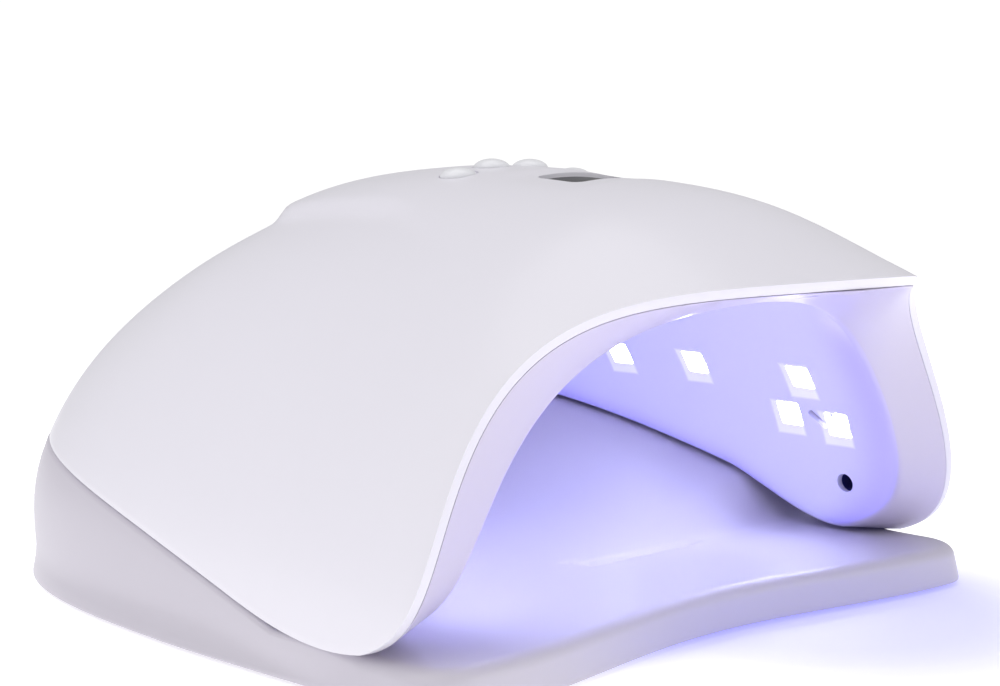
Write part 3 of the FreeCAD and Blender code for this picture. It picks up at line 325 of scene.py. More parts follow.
class Socket:
    """A shader socket that Python arithmetic can be written on."""

    def __init__(self, tree, socket):
        self.tree = tree
        self.socket = socket

    @staticmethod
    def node(tree, kind, settings, values, output=0):
        """Adds a node: its settings first, then the values or links of its sockets."""
        made = tree.nodes.new(kind)
        for key, value in settings.items():
            setattr(made, key, value)
        for key, value in values.items():
            if isinstance(value, Socket):
                tree.links.new(value.socket, made.inputs[key])
            else:
                made.inputs[key].default_value = value
        return Socket(tree, made.outputs[output])

    @staticmethod
    def mix(tree, share, first, second):
        """One colour at share 0 and the other at share 1. Each is a socket or red, green and blue."""
        colours = [c if isinstance(c, Socket) else list(c) + [1.0] for c in (first, second)]
        return Socket.node(tree, "ShaderNodeMix", {"data_type": "RGBA"},
                           {0: share, 6: colours[0], 7: colours[1]}, 2)

    def math(self, operation, *values):
        return Socket.node(self.tree, "ShaderNodeMath", {"operation": operation}, dict(enumerate(values)))

    def feed(self, shader, name):
        self.tree.links.new(self.socket, shader.inputs[name])

    def at_least(self, other):
        return self.math("MAXIMUM", self, other)

    def at_most(self, other):
        return self.math("MINIMUM", self, other)

    def __abs__(self):
        return self.math("ABSOLUTE", self)

    def __add__(self, other):
        return self.math("ADD", self, other)

    def __sub__(self, other):
        return self.math("SUBTRACT", self, other)

    def __rsub__(self, other):
        return self.math("SUBTRACT", other, self)

    def __mul__(self, other):
        return self.math("MULTIPLY", self, other)

    __radd__ = __add__
    __rmul__ = __mul__


def moulded_plastic(name, colour, roughness, coat, grain=0.02, glow=None):
    """Injection-moulded plastic: a faint orange-peel skin, cloudy gloss and slight tone changes.

    glow is red, green, blue and strength, for plastic that light shines through.
    """
    material = bpy.data.materials.new(name)
    material.use_nodes = True
    tree = material.node_tree
    shader = tree.nodes["Principled BSDF"]
    place = Socket.node(tree, "ShaderNodeTexCoord", {}, {}, "Object")
    cloud = Socket.node(tree, "ShaderNodeTexNoise", {}, {"Vector": place, "Scale": 18.0, "Detail": 3.0})
    peel = Socket.node(tree, "ShaderNodeTexNoise", {}, {"Vector": place, "Scale": 900.0, "Detail": 2.0})
    tone = cloud * 0.5 + 0.25
    darker = [channel * 0.965 for channel in colour]
    Socket.mix(tree, tone, darker, colour).feed(shader, "Base Color")
    rough = cloud * 0.06 + (roughness - 0.03)
    rough.feed(shader, "Roughness")
    bump = Socket.node(tree, "ShaderNodeBump", {}, {"Strength": grain, "Distance": 0.0002, "Height": peel})
    bump.feed(shader, "Normal")
    shader.inputs["Coat Weight"].default_value = coat
    shader.inputs["Coat Roughness"].default_value = 0.12
    if glow:
        red, green, blue, strength = glow
        shader.inputs["Emission Color"].default_value = (red, green, blue, 1.0)
        shader.inputs["Emission Strength"].default_value = strength
    return material


white_plastic = moulded_plastic("white_casing_plastic", (0.775, 0.755, 0.825), 0.36, 0.15)
# The tray is the casing's white plastic, given a darker colour for painted shade on its lower, less lit
# walls; the ribs under it take the same.
tray_painted_shade_plastic = moulded_plastic("white_tray_painted_shade_plastic", (0.57, 0.54, 0.61), 0.42, 0.05)

tray_wall_loops = tray_loops()
base_tray = mirrored_skin("base_tray_moulding", [tray_wall_loops, tray_floor(tray_wall_loops[-1])])
for vertex in base_tray.data.vertices:
    x, y, z = (value / MM for value in vertex.co)
    if z > DECK_Z - 0.1:
        vertex.co.z -= finger_mark(x, y) * MM
base_tray.data.materials.append(tray_painted_shade_plastic)
finish_moulding(base_tray, 2.0, 0.2)
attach(base_tray, "base")
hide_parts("base_tray")

# ---------------------------------------------------------------- ribs under the tray
# Thin ribs moulded with the deck, which stop it from drumming. They run both ways between the walls.


def rib_array(name, count, spacing, size, start):
    """Ribs in a row, made by a node tree with its sizes as named inputs."""
    tree = bpy.data.node_groups.new(name, "GeometryNodeTree")
    tree.interface.new_socket("Geometry", in_out="OUTPUT", socket_type="NodeSocketGeometry")
    inputs = {}
    for label, kind in (("Count", "NodeSocketInt"), ("Spacing", "NodeSocketVector"),
                        ("Rib size", "NodeSocketVector"), ("First rib", "NodeSocketVector")):
        inputs[label] = tree.interface.new_socket(label, in_out="INPUT", socket_type=kind)
    source = tree.nodes.new("NodeGroupInput")
    line = tree.nodes.new("GeometryNodeMeshLine")
    tree.links.new(source.outputs["Count"], line.inputs["Count"])
    tree.links.new(source.outputs["Spacing"], line.inputs["Offset"])
    tree.links.new(source.outputs["First rib"], line.inputs["Start Location"])
    rib = tree.nodes.new("GeometryNodeMeshCube")
    tree.links.new(source.outputs["Rib size"], rib.inputs["Size"])
    place = tree.nodes.new("GeometryNodeInstanceOnPoints")
    tree.links.new(line.outputs["Mesh"], place.inputs["Points"])
    tree.links.new(rib.outputs["Mesh"], place.inputs["Instance"])
    real = tree.nodes.new("GeometryNodeRealizeInstances")
    tree.links.new(place.outputs["Instances"], real.inputs["Geometry"])
    finish = tree.nodes.new("GeometryNodeSetMaterial")
    finish.inputs["Material"].default_value = tray_painted_shade_plastic
    tree.links.new(real.outputs["Geometry"], finish.inputs["Geometry"])
    result = tree.nodes.new("NodeGroupOutput")
    tree.links.new(finish.outputs["Geometry"], result.inputs["Geometry"])
    ribs = bpy.data.objects.new(name, bpy.data.meshes.new(name))
    bpy.context.scene.collection.objects.link(ribs)
    modifier = ribs.modifiers.new("ribs", "NODES")
    modifier.node_group = tree
    for label, value in (("Count", count), ("Spacing", spacing), ("Rib size", size), ("First rib", start)):
        modifier[inputs[label].identifier] = value
    bpy.context.view_layer.update()
    graph = bpy.context.evaluated_depsgraph_get()
    mesh = bpy.data.meshes.new_from_object(ribs.evaluated_get(graph))
    ribs.modifiers.clear()
    ribs.data = mesh
    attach(ribs, "base")


rib_low, rib_high, rib_wide = 2.0, 7.7, 1.4
rib_tall = rib_high - rib_low
rib_middle = (rib_low + rib_high) / 2
rib_array("tray_cross_ribs", 5, (0, 24 * MM, 0), (166 * MM, rib_wide * MM, rib_tall * MM),
          (0, -56 * MM, rib_middle * MM))
rib_array("tray_long_ribs", 3, (44 * MM, 0, 0), (rib_wide * MM, 124 * MM, rib_tall * MM),
          (-44 * MM, 0, rib_middle * MM))

# ---------------------------------------------------------------- feet, magnets and screws
# Rubber discs pushed into cups under the tray, nickel-plated magnets in pairs across the joint,
# and zinc-plated steel screws.


def plain_material(name, colour, roughness, metallic=0.0, grain=0.3, scale=400.0):
    """Rubber, metal or epoxy: one tone with a fine speckle in its colour and a rough skin."""
    material = bpy.data.materials.new(name)
    material.use_nodes = True
    tree = material.node_tree
    shader = tree.nodes["Principled BSDF"]
    place = Socket.node(tree, "ShaderNodeTexCoord", {}, {}, "Object")
    speckle = Socket.node(tree, "ShaderNodeTexNoise", {}, {"Vector": place, "Scale": scale, "Detail": 4.0})
    darker = [channel * 0.85 for channel in colour]
    Socket.mix(tree, speckle, darker, colour).feed(shader, "Base Color")
    rough = speckle * 0.15 + (roughness - 0.07)
    rough.feed(shader, "Roughness")
    bump = Socket.node(tree, "ShaderNodeBump", {},
                       {"Strength": grain, "Distance": 0.0001, "Height": speckle})
    bump.feed(shader, "Normal")
    shader.inputs["Metallic"].default_value = metallic
    return material


def dress(names, material):
    """Gives CAD nodes a material of their own."""
    for name in names:
        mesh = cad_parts[name].data
        mesh.materials.clear()
        mesh.materials.append(material)


dress(["base_feet"], plain_material("foot_rubber", (0.42, 0.42, 0.44), 0.8, grain=0.6, scale=700.0))
dress(["base_magnets", "head_magnets"],
      plain_material("nickel_plating", (0.66, 0.64, 0.60), 0.22, 1.0, 0.1))
dress(["liner_screws", "board_screws"],
      plain_material("zinc_plating", (0.46, 0.46, 0.50), 0.35, 1.0, 0.2))

# ---------------------------------------------------------------- inner liner
# Glossy pale moulding that lines the head. A wide flat band frames the mouth, and behind its soft crease
# the cavity mirrors the light of the chips, which is also painted into the liner's emission as violet glow
# with paler halos round the chip windows.
# Square windows open in front of the chips.

SHELL_WALL = 2.1
LINER_INSET = SHELL_WALL + 0.2
TOE = 0.135  # where on the front edge the rounding of an arm's foot starts
ARCH_POINTS, FOOT_POINTS, LOWER_POINTS = 72, 18, 110


def front_edge(share):
    """Side view of the head's front edge, from the foot's corner at 0 to the lip at 1."""
    run, rise = LIP[0] - FOOT[0], LIP[1] - FOOT[1]
    length = math.hypot(run, rise)
    swing = 13.2 * math.sin(2 * math.pi * share) - 0.8 * math.sin(math.pi * share)
    return FOOT[0] + run * share - rise / length * swing, FOOT[1] + rise * share + run / length * swing


HEEL_Y = -18.0


def foot_curve(edge, toe):
    """Rounded underside of an arm from its toe to the heel, where the lower edge takes over."""
    heel = (HEEL_Y, edge(HEEL_Y))
    slope = (edge(HEEL_Y) - edge(HEEL_Y - 4)) / 4
    poles = (toe, FOOT, (HEEL_Y - 12, heel[1] - 12 * slope), heel)
    points = []
    for k in range(FOOT_POINTS):
        t = k / FOOT_POINTS
        weights = ((1 - t) ** 3, 3 * t * (1 - t) ** 2, 3 * t * t * (1 - t), t ** 3)
        points.append(tuple(sum(w * pole[axis] for w, pole in zip(weights, poles)) for axis in (0, 1)))
    return points


def rear_stations(end_y):
    """Stations from the heel to the rear end."""
    straight = LOWER_POINTS // 6
    stations = [HEEL_Y + (MIDDLE_Y - HEEL_Y) * k / straight for k in range(straight)]
    shares = rear_shares(LOWER_POINTS - straight)
    return stations + [MIDDLE_Y + (end_y - MIDDLE_Y) * share for share in shares]


def head_profile(edge, inset):
    """Side view of the head's rim from the lip, down an arm and along its lower edge to the rear."""
    profile = []
    for k in range(ARCH_POINTS):
        share = 1 - (1 - TOE) * k / ARCH_POINTS
        profile.append(front_edge(share))
    profile += foot_curve(edge, front_edge(TOE))
    profile += [(y, edge(y)) for y in rear_stations(REAR_Y - inset)]
    return profile


def cavity_profile():
    """The same for the crease between the band and the cavity, set back from the front edge."""
    def set_back(share):
        y, z = front_edge(share)
        return y + 4.0 - 1.85 * (z - 40) / 40, z + 2.0 * smooth((30 - z) / 20)
    top = 1.0
    while set_back(top)[1] > ridge(set_back(top)[0]) - BAND_TOP:
        top -= 0.001
    profile = []
    for k in range(ARCH_POINTS):
        profile.append(set_back(top - (top - TOE) * k / ARCH_POINTS))
    profile[0] = (profile[0][0], ridge(profile[0][0]) - BAND_TOP)
    profile += foot_curve(flange_edge, set_back(TOE))
    profile += [(y, flange_edge(y)) for y in rear_stations(REAR_Y - BAND_SIDE)]
    return profile


def over_the_roof(profile, inset, roof_inset, columns, shape=None):
    """Rows of points that climb from the rim to the ridge, evenly fanned along the ridge."""
    first_y, rows = profile[0][0], []
    front_rows = sum(1 for y, z in profile if y < MIDDLE_Y)
    for number, (rim_y, rim_z) in enumerate(profile):
        ridge_y = rim_y
        if number < front_rows:
            ridge_y = first_y + (profile[front_rows][0] - first_y) * number / front_rows
        start = math.asin(min(max(rim_z / (ridge(rim_y) - roof_inset), 0.0), 1.0) ** (ROOF_POWER / 2))
        row = []
        for k in range(columns + 1):
            share = k / columns
            angle = start + (math.pi / 2 - start) * share
            y = rim_y + (ridge_y - rim_y) * share
            x = half_width(y, inset) * abs(math.cos(angle)) ** (2 / SIDE_POWER) if k < columns else 0.0
            z = (ridge(y) - roof_inset) * math.sin(angle) ** (2 / ROOF_POWER)
            row.append(shape(x, y, z) if shape else (x, y, z))
        rows.append(row)
    return rows


def dome_normal(x, y, z):
    """Outward direction of the dome's surface."""
    def level(x, y, z):
        return (abs(x) / half_width(y, 0.0)) ** SIDE_POWER + (z / ridge(y)) ** ROOF_POWER
    step = 0.01
    x = max(x, step)
    slope = Vector((level(x + step, y, z) - level(x - step, y, z),
                    level(x, y + step, z) - level(x, y - step, z),
                    level(x, y, z + step) - level(x, y, z - step)))
    return slope.normalized()


def liner_rim():
    """The liner's outer rim against the shell, and a short return behind it that shuts the seam."""
    profile = head_profile(flange_edge, LINER_INSET)
    return_depth = 3.0
    last_front = sum(1 for y, z in profile if y < HEEL_Y)
    rim, behind = [], []
    for number, (y, z) in enumerate(profile):
        plain = Vector((wall_x(y, z, LINER_INSET, LINER_INSET), y, z))
        if number >= last_front:
            rim.append(plain)
            behind.append(plain + Vector((0, 0, return_depth)))
            continue
        x = wall_x(y, z, 0.0, 0.0)
        outward = dome_normal(x, y, z)
        square = Vector((x, y, z)) - outward * LINER_INSET
        if number == 0:
            square.x, outward.x = 0.0, 0.0
        (y0, z0), (y1, z1) = profile[max(number - 1, 0)], profile[number + 1]
        along = Vector((wall_x(y1, z1, 0.0, 0.0) - wall_x(y0, z0, 0.0, 0.0), y1 - y0, z1 - z0))
        inward = outward.cross(along if number else Vector((1, 0, 0))).normalized()
        share = smooth((y - FOOT[0]) / (HEEL_Y - FOOT[0])) if number > last_front - FOOT_POINTS else 0.0
        rim.append(square.lerp(plain, share))
        behind.append(rim[-1] + inward.lerp(Vector((0, 0, 1)), share) * return_depth)
    return [tuple(point) for point in rim], [tuple(point) for point in behind]


def liner_loops():
    """Band and cavity as loops from the outer rim inwards, each loop running from the lip to the rear."""
    outer, behind = liner_rim()
    cavity_columns, band_steps = 56, 14
    cavity = over_the_roof(cavity_profile(), BAND_SIDE, BAND_TOP, cavity_columns)
    loops = [behind]
    for step in range(band_steps):
        share = step / band_steps
        loop = []
        for start, row in zip(outer, cavity):
            loop.append(tuple(a + (b - a) * share for a, b in zip(start, row[0])))
        loops.append(loop)
    for column in range(cavity_columns + 1):
        loops.append([row[column] for row in cavity])
    for _ in range(3):
        for index in range(band_steps, band_steps + 4):
            before, loop, after = loops[index - 1], loops[index], loops[index + 1]
            loops[index] = [tuple((a + 2 * b + c) / 4 for a, b, c in zip(*points))
                            for points in zip(before, loop, after)]
    return loops


TILT = math.radians(29.0)
BOARD_Z = 44.0
BOARD_X = wall_x(MIDDLE_Y, BOARD_Z, BAND_SIDE - 2, BAND_TOP - 2)
CHIP_SPOTS = ((9.3, 50.1), (-16.7, 49.8), (-50.3, 48.9), (-42.8, 38.9), (-57.0, 37.4))
SENSOR_SPOT = (-51.2, 38.2)
ARM_SCREW_Y, ARM_SCREW_Z = -55.6, 22.5


def lean(side):
    """Turns local X square to the sloping side wall."""
    return Matrix.Rotation(-(TILT if side > 0 else math.pi - TILT), 4, "Y")


def slant(side):
    """Turns the sensor slots aslant within the wall."""
    return Matrix.Rotation(side * math.radians(45), 4, "X")


def on_wall(side, y, z):
    """Placement on the sloping side board: local X points out of the cavity."""
    x = wall_x(y, z, BAND_SIDE, BAND_TOP)
    up = (x - BOARD_X) * -math.sin(TILT) + (z - BOARD_Z) * math.cos(TILT)
    point = Vector((side * (BOARD_X - up * math.sin(TILT)), y, BOARD_Z + up * math.cos(TILT))) * MM
    return Matrix.Translation(point) @ lean(side)


def block(name, size, place, corner=0.0):
    """A cutter with its upright edges rounded, turned into place."""
    mesh = bmesh.new()
    bmesh.ops.create_cube(mesh, size=1.0)
    bmesh.ops.scale(mesh, vec=[length * MM for length in size], verts=mesh.verts)
    if corner:
        edges = [e for e in mesh.edges if abs((e.verts[0].co - e.verts[1].co).normalized().x) > 0.9]
        bmesh.ops.bevel(mesh, geom=edges, offset=corner * MM, segments=4, profile=0.5, affect="EDGES")
    bmesh.ops.transform(mesh, matrix=place, verts=mesh.verts)
    cutter = scene_piece(name, mesh)
    cutter.hide_render = True
    return cutter


def drill(name, radius, length, place):
    """A round cutter along its own Z."""
    mesh = bmesh.new()
    bmesh.ops.create_cone(mesh, cap_ends=True, segments=40, radius1=radius * MM, radius2=radius * MM,
                          depth=length * MM)
    bmesh.ops.transform(mesh, matrix=place, verts=mesh.verts)
    cutter = scene_piece(name, mesh)
    cutter.hide_render = True
    return cutter


def spot(x, y, z):
    """Placement at a point, unturned."""
    return Matrix.Translation(Vector((x, y, z)) * MM)


CHIP_WINDOW, SCREW_WELL = 6.6, 2.3
liner_cutters = []
for side in (-1, 1):
    for y, z in CHIP_SPOTS:
        liner_cutters.append(block("chip_window", (11, CHIP_WINDOW, CHIP_WINDOW), on_wall(side, y, z), 0.6))
    slot = on_wall(side, *SENSOR_SPOT) @ slant(side)
    liner_cutters.append(block("sensor_slot", (11, 6.0, 1.9), slot, 0.7))
    well = spot(side * 72.0, ARM_SCREW_Y, ARM_SCREW_Z) @ Matrix.Rotation(math.pi / 2, 4, "Y")
    liner_cutters.append(drill("screw_well", SCREW_WELL, 12, well))
liner_cutters.append(drill("lip_screw_well", SCREW_WELL, 12, spot(0, -95.0, 74.0)))
for k in range(5):
    place = spot((-5.0, 5.0)[k % 2], -41.0 + 13.0 * k, 82.0)
    liner_cutters.append(block("roof_window", (CHIP_WINDOW, CHIP_WINDOW, 9), place))


# Dark navy painted shade, tinged by the cavity's blue light, for the hollows of the screw cups and the
# sensor shrouds seen through the slots.
pocket_painted_shade = moulded_plastic("shaded_pocket_plastic", (0.015, 0.015, 0.16), 0.6, 0.0)


def lathe(profile, segments, x=0.0, y=0.0):
    """A half section, as radius and height, turned about the upright axis through x, y."""
    mesh = bmesh.new()
    rings = []
    for k in range(segments):
        turn = 2 * math.pi * k / segments
        rings.append([mesh.verts.new(((x + r * math.cos(turn)) * MM, (y + r * math.sin(turn)) * MM, z * MM))
                      for r, z in profile])
    for ring, after in zip(rings, rings[1:] + rings[:1]):
        for a, b, c, d in zip(ring, ring[1:], after[1:], after):
            mesh.faces.new((a, b, c, d))
    bmesh.ops.remove_doubles(mesh, verts=mesh.verts, dist=1e-6)
    return mesh


def screw_cup(name, place, length):
    """The closed tube behind a screw's hole in the liner, along its own Z."""
    bore, outside, end_wall = 2.35, 4.2, 1.2
    mesh = lathe([(bore, 0.3), (bore, length), (0.0, length), (0.0, length + end_wall),
                  (outside, length + end_wall), (outside, 1.0)], 32)
    bmesh.ops.transform(mesh, matrix=place, verts=mesh.verts)
    bmesh.ops.recalc_face_normals(mesh, faces=mesh.faces)
    cup = scene_piece(name, mesh)
    cup.data.materials.append(pocket_painted_shade)
    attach(cup, "head")


def liner_material():
    """Glossy plastic: grey-lilac on the band, and inside it painted violet light in the emission for the
    light the walls throw about.
    """
    material = moulded_plastic("liner_gloss_plastic_painted_glow", (0.62, 0.575, 0.68), 0.34, 0.1)
    tree = material.node_tree
    shader = tree.nodes["Principled BSDF"]
    inside = Socket.node(tree, "ShaderNodeAttribute", {"attribute_name": "inside"}, {}, "Fac")
    deep = Socket.node(tree, "ShaderNodeAttribute", {"attribute_name": "deep"}, {}, "Fac")
    place = Socket.node(tree, "ShaderNodeTexCoord", {}, {}, "Object")
    along = Socket.node(tree, "ShaderNodeSeparateXYZ", {}, {"Vector": place}, "Y")
    height = Socket.node(tree, "ShaderNodeSeparateXYZ", {}, {"Vector": place}, "Z")
    half_patch, fade, patches = 4.6 * MM, 0.7 * MM, []
    # Painted paler halo of light round each chip window.
    for y, z in CHIP_SPOTS:
        far = abs(along - (y + 0.9) * MM).at_least(abs(height - (z - 1.2) * MM))
        patches.append(((half_patch - far) * (1 / fade)).at_least(0.0).at_most(1.0))
    painted_halo = patches[0]
    for patch in patches[1:]:
        painted_halo = painted_halo.at_least(patch)
    # Painted glow of the cavity walls: violet-blue, turning deeper blue where deep is high.
    walls = Socket.mix(tree, deep, (0.20, 0.22, 0.48), (0.04, 0.03, 0.62))
    glow = Socket.mix(tree, painted_halo * 0.7, walls, (0.62, 0.66, 0.9))
    # The painted glow shines only behind the crease; the band keeps almost none.
    Socket.mix(tree, inside, (0.0, 0.0, 0.02), glow).feed(shader, "Emission Color")
    shader.inputs["Emission Strength"].default_value = 0.7
    return material


def mark_inside(piece):
    """Stores on each point how far inside the crease it lies, and how close behind the crease: the masks
    that place the liner's painted glow and its deeper blue.
    """
    crease = cavity_profile()[:ARCH_POINTS]
    inside, deep = [], []
    for vertex in piece.data.vertices:
        x, y, z = (value / MM for value in vertex.co)
        crease_y = min(crease, key=lambda point: abs(point[1] - z))[0]
        behind = y - crease_y
        if z > crease[0][1] - 1.0:
            behind = max(behind, 0) if z > ridge(y) - 18.5 and y > crease[0][0] else -5.0
        sunk = abs(x) - wall_x(y, z, BAND_SIDE, BAND_TOP) if z < 80 else z - ridge(y) + BAND_TOP
        inside.append(smooth((behind + 2.5) / 5) * smooth((1.3 - sunk) / 0.8))
        # deep, where the painted glow turns a deeper blue, is highest just behind the crease and along the
        # lower edge.
        low = math.exp(-((z - flange_edge(y)) / 4) ** 2) if y > HEEL_Y - 25 else 0.0
        deep.append(max(math.exp(-((behind - 3) / 8) ** 2) * smooth((80 - z) / 25), low * 0.9))
    for name, values in (("inside", inside), ("deep", deep)):
        piece.data.attributes.new(name, "FLOAT", "POINT").data.foreach_set("value", values)


liner_plastic = liner_material()
inner_liner = mirrored_skin("inner_liner_moulding", [liner_loops()], flip=True)
inner_liner.data.materials.append(liner_plastic)
finish_moulding(inner_liner, 1.8, 0.15, liner_cutters)
mark_inside(inner_liner)
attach(inner_liner, "head")
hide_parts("inner_liner")
for side, name in ((-1, "left"), (1, "right")):
    y, z = SENSOR_SPOT
    behind_wall = Matrix.Translation((2.1 * MM, 0, 0))
    place = spot(side * wall_x(y, z, BAND_SIDE, BAND_TOP), y, z) @ lean(side) @ behind_wall @ slant(side)
    shroud = block("sensor_shroud_" + name, (0.6, 5.4, 2.0), place, 0.8)
    shroud.hide_render = False
    shroud.data.materials.append(pocket_painted_shade)
    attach(shroud, "head")
    place = spot(side * 69.6, ARM_SCREW_Y, ARM_SCREW_Z) @ Matrix.Rotation(side * math.pi / 2, 4, "Y")
    screw_cup("screw_cup_" + name, place, 7.2)

# ---------------------------------------------------------------- light boards, chips and hand sensor
# White boards behind the side walls and the roof, each with square chips that shine through the
# windows. A dark infrared pair looks across the mouth through slanted slots.

chip_light = moulded_plastic("lit_chip_lens", (0.9, 0.9, 1.0), 0.3, 0.0, glow=(0.62, 0.66, 1.0, 75.0))
dress(["led_chips_left", "led_chips_right", "led_chips_top"], chip_light)
dress(["led_board_left", "led_board_right", "led_board_top"],
      moulded_plastic("white_board_mask", (0.85, 0.85, 0.86), 0.3, 0.2))
dress(["infrared_emitter", "infrared_receiver"], plain_material("sensor_epoxy", (0.02, 0.02, 0.06), 0.6))

# ---------------------------------------------------------------- control board and what is on it
# Green board screwed under the roof, with its timer chip, power parts, connectors and switches.

dress(["control_board"], plain_material("green_board_mask", (0.03, 0.22, 0.09), 0.4, scale=150.0))
dress(["control_chip", "power_transistors", "filter_choke", "switch_bodies"],
      plain_material("moulded_epoxy", (0.02, 0.02, 0.022), 0.55))
dress(["filter_capacitors"], plain_material("capacitor_sleeve", (0.05, 0.08, 0.28), 0.4))
dress(["lead_connectors"] + ["switch_plunger_%d" % k for k in (1, 2, 3, 4)],
      plain_material("nylon", (0.80, 0.78, 0.70), 0.5))
dress(["display_module"], plain_material("display_body", (0.015, 0.015, 0.018), 0.3))
dress(["power_lead", "led_lead_left", "led_lead_right"],
      plain_material("lead_insulation", (0.65, 0.65, 0.68), 0.5))

# ---------------------------------------------------------------- top shell
# Satin white outer moulding with a raised hood over its crown, a shallow dish for the display
# window, four round button holes, and vents and the power socket at the rear.

HOOD_REAR_Y, HOOD_SIDE_X, HOOD_RISE = 39.0, 38.0, 2.7
WINDOW_Y, WINDOW_LONG, WINDOW_WIDE = -37.6, 26.0, 13.0
SOCKET_Z = 49.5


def hood_step(x, y):
    """Height added by the hood: a soft step along its edge that fades away to both sides."""
    corner = 12.0
    side = HOOD_SIDE_X + 8 * smooth((-11 - y) / 31) - abs(x)
    rear = HOOD_REAR_Y + 2 - 6 * (x / HOOD_SIDE_X) ** 2 - y
    inside = min(side, rear) if min(side, rear) > corner else corner - math.hypot(
        max(corner - side, 0), max(corner - rear, 0))
    step = math.tanh(inside / 1.3)
    fade = math.exp(-(inside / 16) ** 2) * smooth((y + 46) / 50)
    return HOOD_RISE / 2 * step * fade


def window_dish(x, y):
    """How deep the roof is dished round the display window."""
    return 0.6 * math.exp(-(x / 18) ** 6 - ((y - WINDOW_Y) / 11.0) ** 6)


def shell_shape(x, y, z):
    return x, y, z + hood_step(x, y) * smooth((z - 55) / 25) - window_dish(x, y) * smooth((z - 80) / 8)


def button_spots():
    """Centres of the four buttons: an even row, with the outer two further forward."""
    pitch, row_y, arc = 12.1, -10.1, 2.2
    return [(pitch * (k - 1.5), row_y - (arc if k in (0, 3) else 0.0)) for k in range(4)]


upright = Matrix.Rotation(math.pi / 2, 4, "Y")  # stands a cutter's own X axis up
shell_cutters = []
for x, y in button_spots():
    shell_cutters.append(drill("button_hole", 4.5, 20, spot(x, y, 95)))
shell_cutters.append(block("window_hole", (12, WINDOW_WIDE + 0.3, WINDOW_LONG + 0.3),
                           spot(0, WINDOW_Y, 95) @ upright, 2.6))
shell_cutters.append(drill("socket_hole", 4.35, 20, spot(0, REAR_Y - 4, SOCKET_Z)
                           @ Matrix.Rotation(math.pi / 2, 4, "X")))
for side in (-1, 1):
    for k in range(4):
        place = spot(side * (15 + 4.5 * k), REAR_Y - 3, SOCKET_Z) @ upright
        shell_cutters.append(block("vent", (8, 14, 1.8), place))

shell_rows = over_the_roof(head_profile(lower_edge, 0.0), 0.0, 0.0, 84, shell_shape)
shell_loops = [[row[column] for row in shell_rows] for column in range(len(shell_rows[0]))]
top_shell = mirrored_skin("top_shell_moulding", [shell_loops])
top_shell.data.materials.append(white_plastic)
finish_moulding(top_shell, SHELL_WALL, 0.2, shell_cutters)
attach(top_shell, "head")
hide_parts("top_shell")

# ---------------------------------------------------------------- display window
# Dark tinted plate snapped into the roof over the two-digit display.

window_material = moulded_plastic("dark_window", (0.012, 0.012, 0.02), 0.3, 0.0)
window_material.node_tree.nodes["Principled BSDF"].inputs["Specular IOR Level"].default_value = 0.15


def window_plate():
    """The window's plate, bent with the roof and with rounded corners."""
    corner, thick, sunk = 2.5, 1.0, 1.5
    flat_x, flat_y = WINDOW_LONG / 2 - corner, WINDOW_WIDE / 2 - corner
    mesh = bmesh.new()
    bmesh.ops.create_grid(mesh, x_segments=26, y_segments=13, size=0.5)
    bmesh.ops.scale(mesh, vec=(WINDOW_LONG, WINDOW_WIDE, 1.0), verts=mesh.verts)
    for vertex in mesh.verts:
        x, y = vertex.co.x, vertex.co.y
        over_x, over_y = abs(x) - flat_x, abs(y) - flat_y
        if over_x > 0 and over_y > 0:
            reach = max(over_x, over_y) / math.hypot(over_x, over_y)
            x = math.copysign(flat_x + over_x * reach, x)
            y = math.copysign(flat_y + over_y * reach, y)
        y += WINDOW_Y
        bend = (1 - (abs(x) / HALF_WIDTH) ** SIDE_POWER) ** (1 / ROOF_POWER)
        vertex.co = Vector((x, y, ridge(y) * bend - sunk)) * MM
    bmesh.ops.solidify(mesh, geom=mesh.faces, thickness=thick * MM)
    bmesh.ops.recalc_face_normals(mesh, faces=mesh.faces)
    plate = scene_piece("display_window_plate", mesh)
    soften(plate.data, 35)
    plate.data.materials.append(window_material)
    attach(plate, "head")
    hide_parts("display_window")


window_plate()

# ---------------------------------------------------------------- buttons
# Four soft white domes, each turned about its own axis. A flange under the roof keeps each one in.

button_plastic = moulded_plastic("button_plastic", (0.80, 0.80, 0.84), 0.3, 0.3)


def button_cap(name, low, high, x, y):
    """A domed cap with its stem, flange and leg, lathed from a half section."""
    radius, dome_height, leg, flange = 4.3, 2.3, 1.8, 4.9
    flange_low, flange_high = high - 6.0, high - 5.2
    profile = [(0.0, low), (leg, low), (leg, flange_low), (flange, flange_low), (flange, flange_high),
               (radius, flange_high)]
    arc_steps = 12
    for k in range(arc_steps + 1):
        angle = math.pi / 2 * k / arc_steps
        profile.append((radius * math.cos(angle), high - dome_height + dome_height * math.sin(angle)))
    mesh = lathe(profile, 48, x, y)
    bmesh.ops.recalc_face_normals(mesh, faces=mesh.faces)
    cap = scene_piece(name, mesh)
    soften(cap.data, 40)
    cap.data.materials.append(button_plastic)
    return cap


for number, (x, y) in enumerate(button_spots(), start=1):
    node_name = "timer_button_%d" % number
    low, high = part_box(node_name)
    cap = button_cap(node_name + "_cap", low[2] / MM, high[2] / MM, x, y)
    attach(cap, "button_%d" % number)
    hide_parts(node_name)

# ---------------------------------------------------------------- power socket
# Black round socket with a nickel-plated centre pin, flush with the rear of the shell.

dress(["power_socket"], plain_material("socket_body", (0.02, 0.02, 0.022), 0.4))
dress(["power_socket_pin"], plain_material("pin_plating", (0.70, 0.69, 0.66), 0.2, 1.0, 0.1))
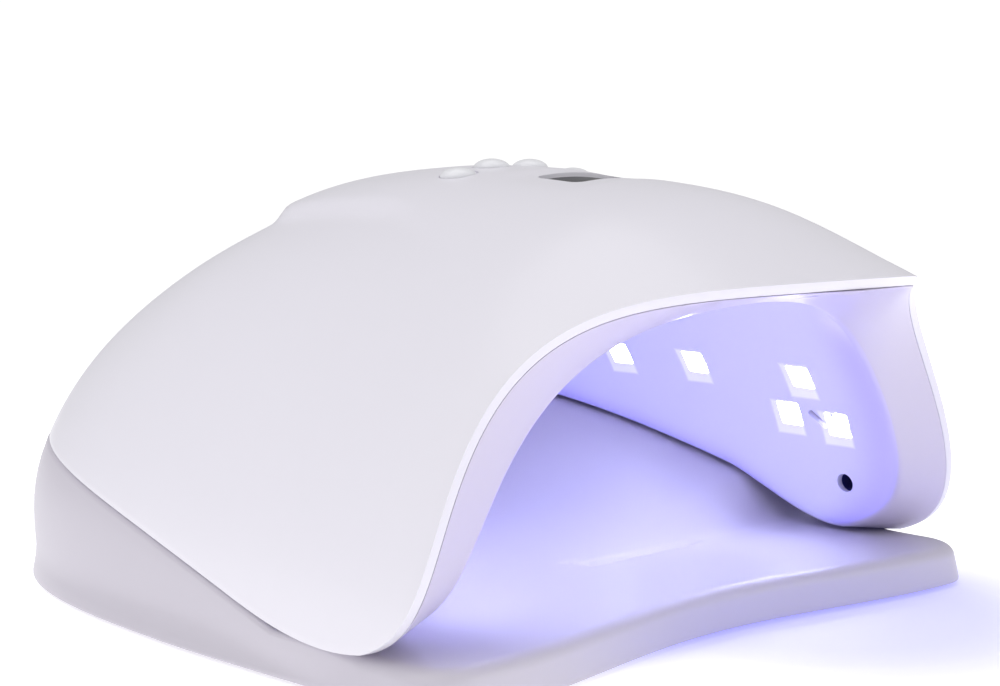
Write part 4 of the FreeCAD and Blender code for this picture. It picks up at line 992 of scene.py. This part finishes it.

# ---------------------------------------------------------------- floor, light and camera
# A pale floor with a painted pool of the lamp's violet light on it near the mouth, a white surround, and
# three soft lights from the left, the front and above.


def stage_floor():
    """The floor's plane and its pale material, with a painted pool of violet light near the mouth in its
    colour and emission.
    """
    mesh = bmesh.new()
    bmesh.ops.create_grid(mesh, x_segments=2, y_segments=2, size=3.0)
    material = bpy.data.materials.new("pale_floor_painted_glow")
    material.use_nodes = True
    tree = material.node_tree
    shader = tree.nodes["Principled BSDF"]
    place = Socket.node(tree, "ShaderNodeTexCoord", {}, {}, "Object")
    away = Socket.node(tree, "ShaderNodeVectorMath", {"operation": "DISTANCE"},
                {0: place, 1: (0.035, -0.075, 0.0)}, "Value")
    near = Socket.node(tree, "ShaderNodeMapRange", {"interpolation_type": "SMOOTHSTEP"},
                {"Value": away, "From Min": 0.03, "From Max": 0.09, "To Min": 1.0, "To Max": 0.0})
    # Painted pool of violet light round a spot in front of the mouth, fed to both colour and emission.
    tone = Socket.mix(tree, near, (0.93, 0.93, 0.94), (0.52, 0.52, 0.96))
    tone.feed(shader, "Base Color")
    tone.feed(shader, "Emission Color")
    shader.inputs["Roughness"].default_value = 0.6
    shader.inputs["Emission Strength"].default_value = 0.62
    floor = scene_piece("floor", mesh)
    floor.data.materials.append(material)


stage_floor()


def aim(thing, place, target):
    """Puts a light or a camera at a place and points it at a target."""
    thing.location = place
    thing.rotation_euler = (Vector(target) - Vector(place)).to_track_quat("-Z", "Y").to_euler()


def area_light(name, place, edge, power):
    """A square soft light aimed at the middle of the lamp."""
    data = bpy.data.lights.new(name, "AREA")
    data.shape = "RECTANGLE"
    data.size, data.size_y = edge, edge
    data.energy = power
    light = bpy.data.objects.new(name, data)
    aim(light, place, (0, 0, 0.05))
    light.visible_camera = False
    bpy.context.scene.collection.objects.link(light)


world = bpy.data.worlds.new("studio")
world.use_nodes = True
tree = world.node_tree
seen = Socket.node(tree, "ShaderNodeLightPath", {}, {}, "Is Camera Ray")
backdrop = tree.nodes["Background"]
backdrop.inputs["Color"].default_value = (1, 1, 1, 1)
tree.links.new((seen * 0.54 + 0.5).socket, backdrop.inputs["Strength"])
bpy.context.scene.world = world
area_light("key", (-0.8, 0.0, 0.95), 0.9, 4.0)
area_light("front", (0.55, -0.9, 0.35), 0.6, 2.2)
area_light("top", (0.0, 0.15, 1.3), 1.2, 4.6)

camera_data = bpy.data.cameras.new("camera")
camera = bpy.data.objects.new("camera", camera_data)
bpy.context.scene.collection.objects.link(camera)
bpy.context.scene.camera = camera
aim(camera, (-0.2779, -0.3030, 0.0969), (0, 0.0039, 0.045))
camera_data.lens = 62.4
camera_data.shift_x = 0.0297
camera_data.shift_y = 0.0495
camera_data.clip_start = 0.01
bpy.context.scene.view_settings.view_transform = "Standard"
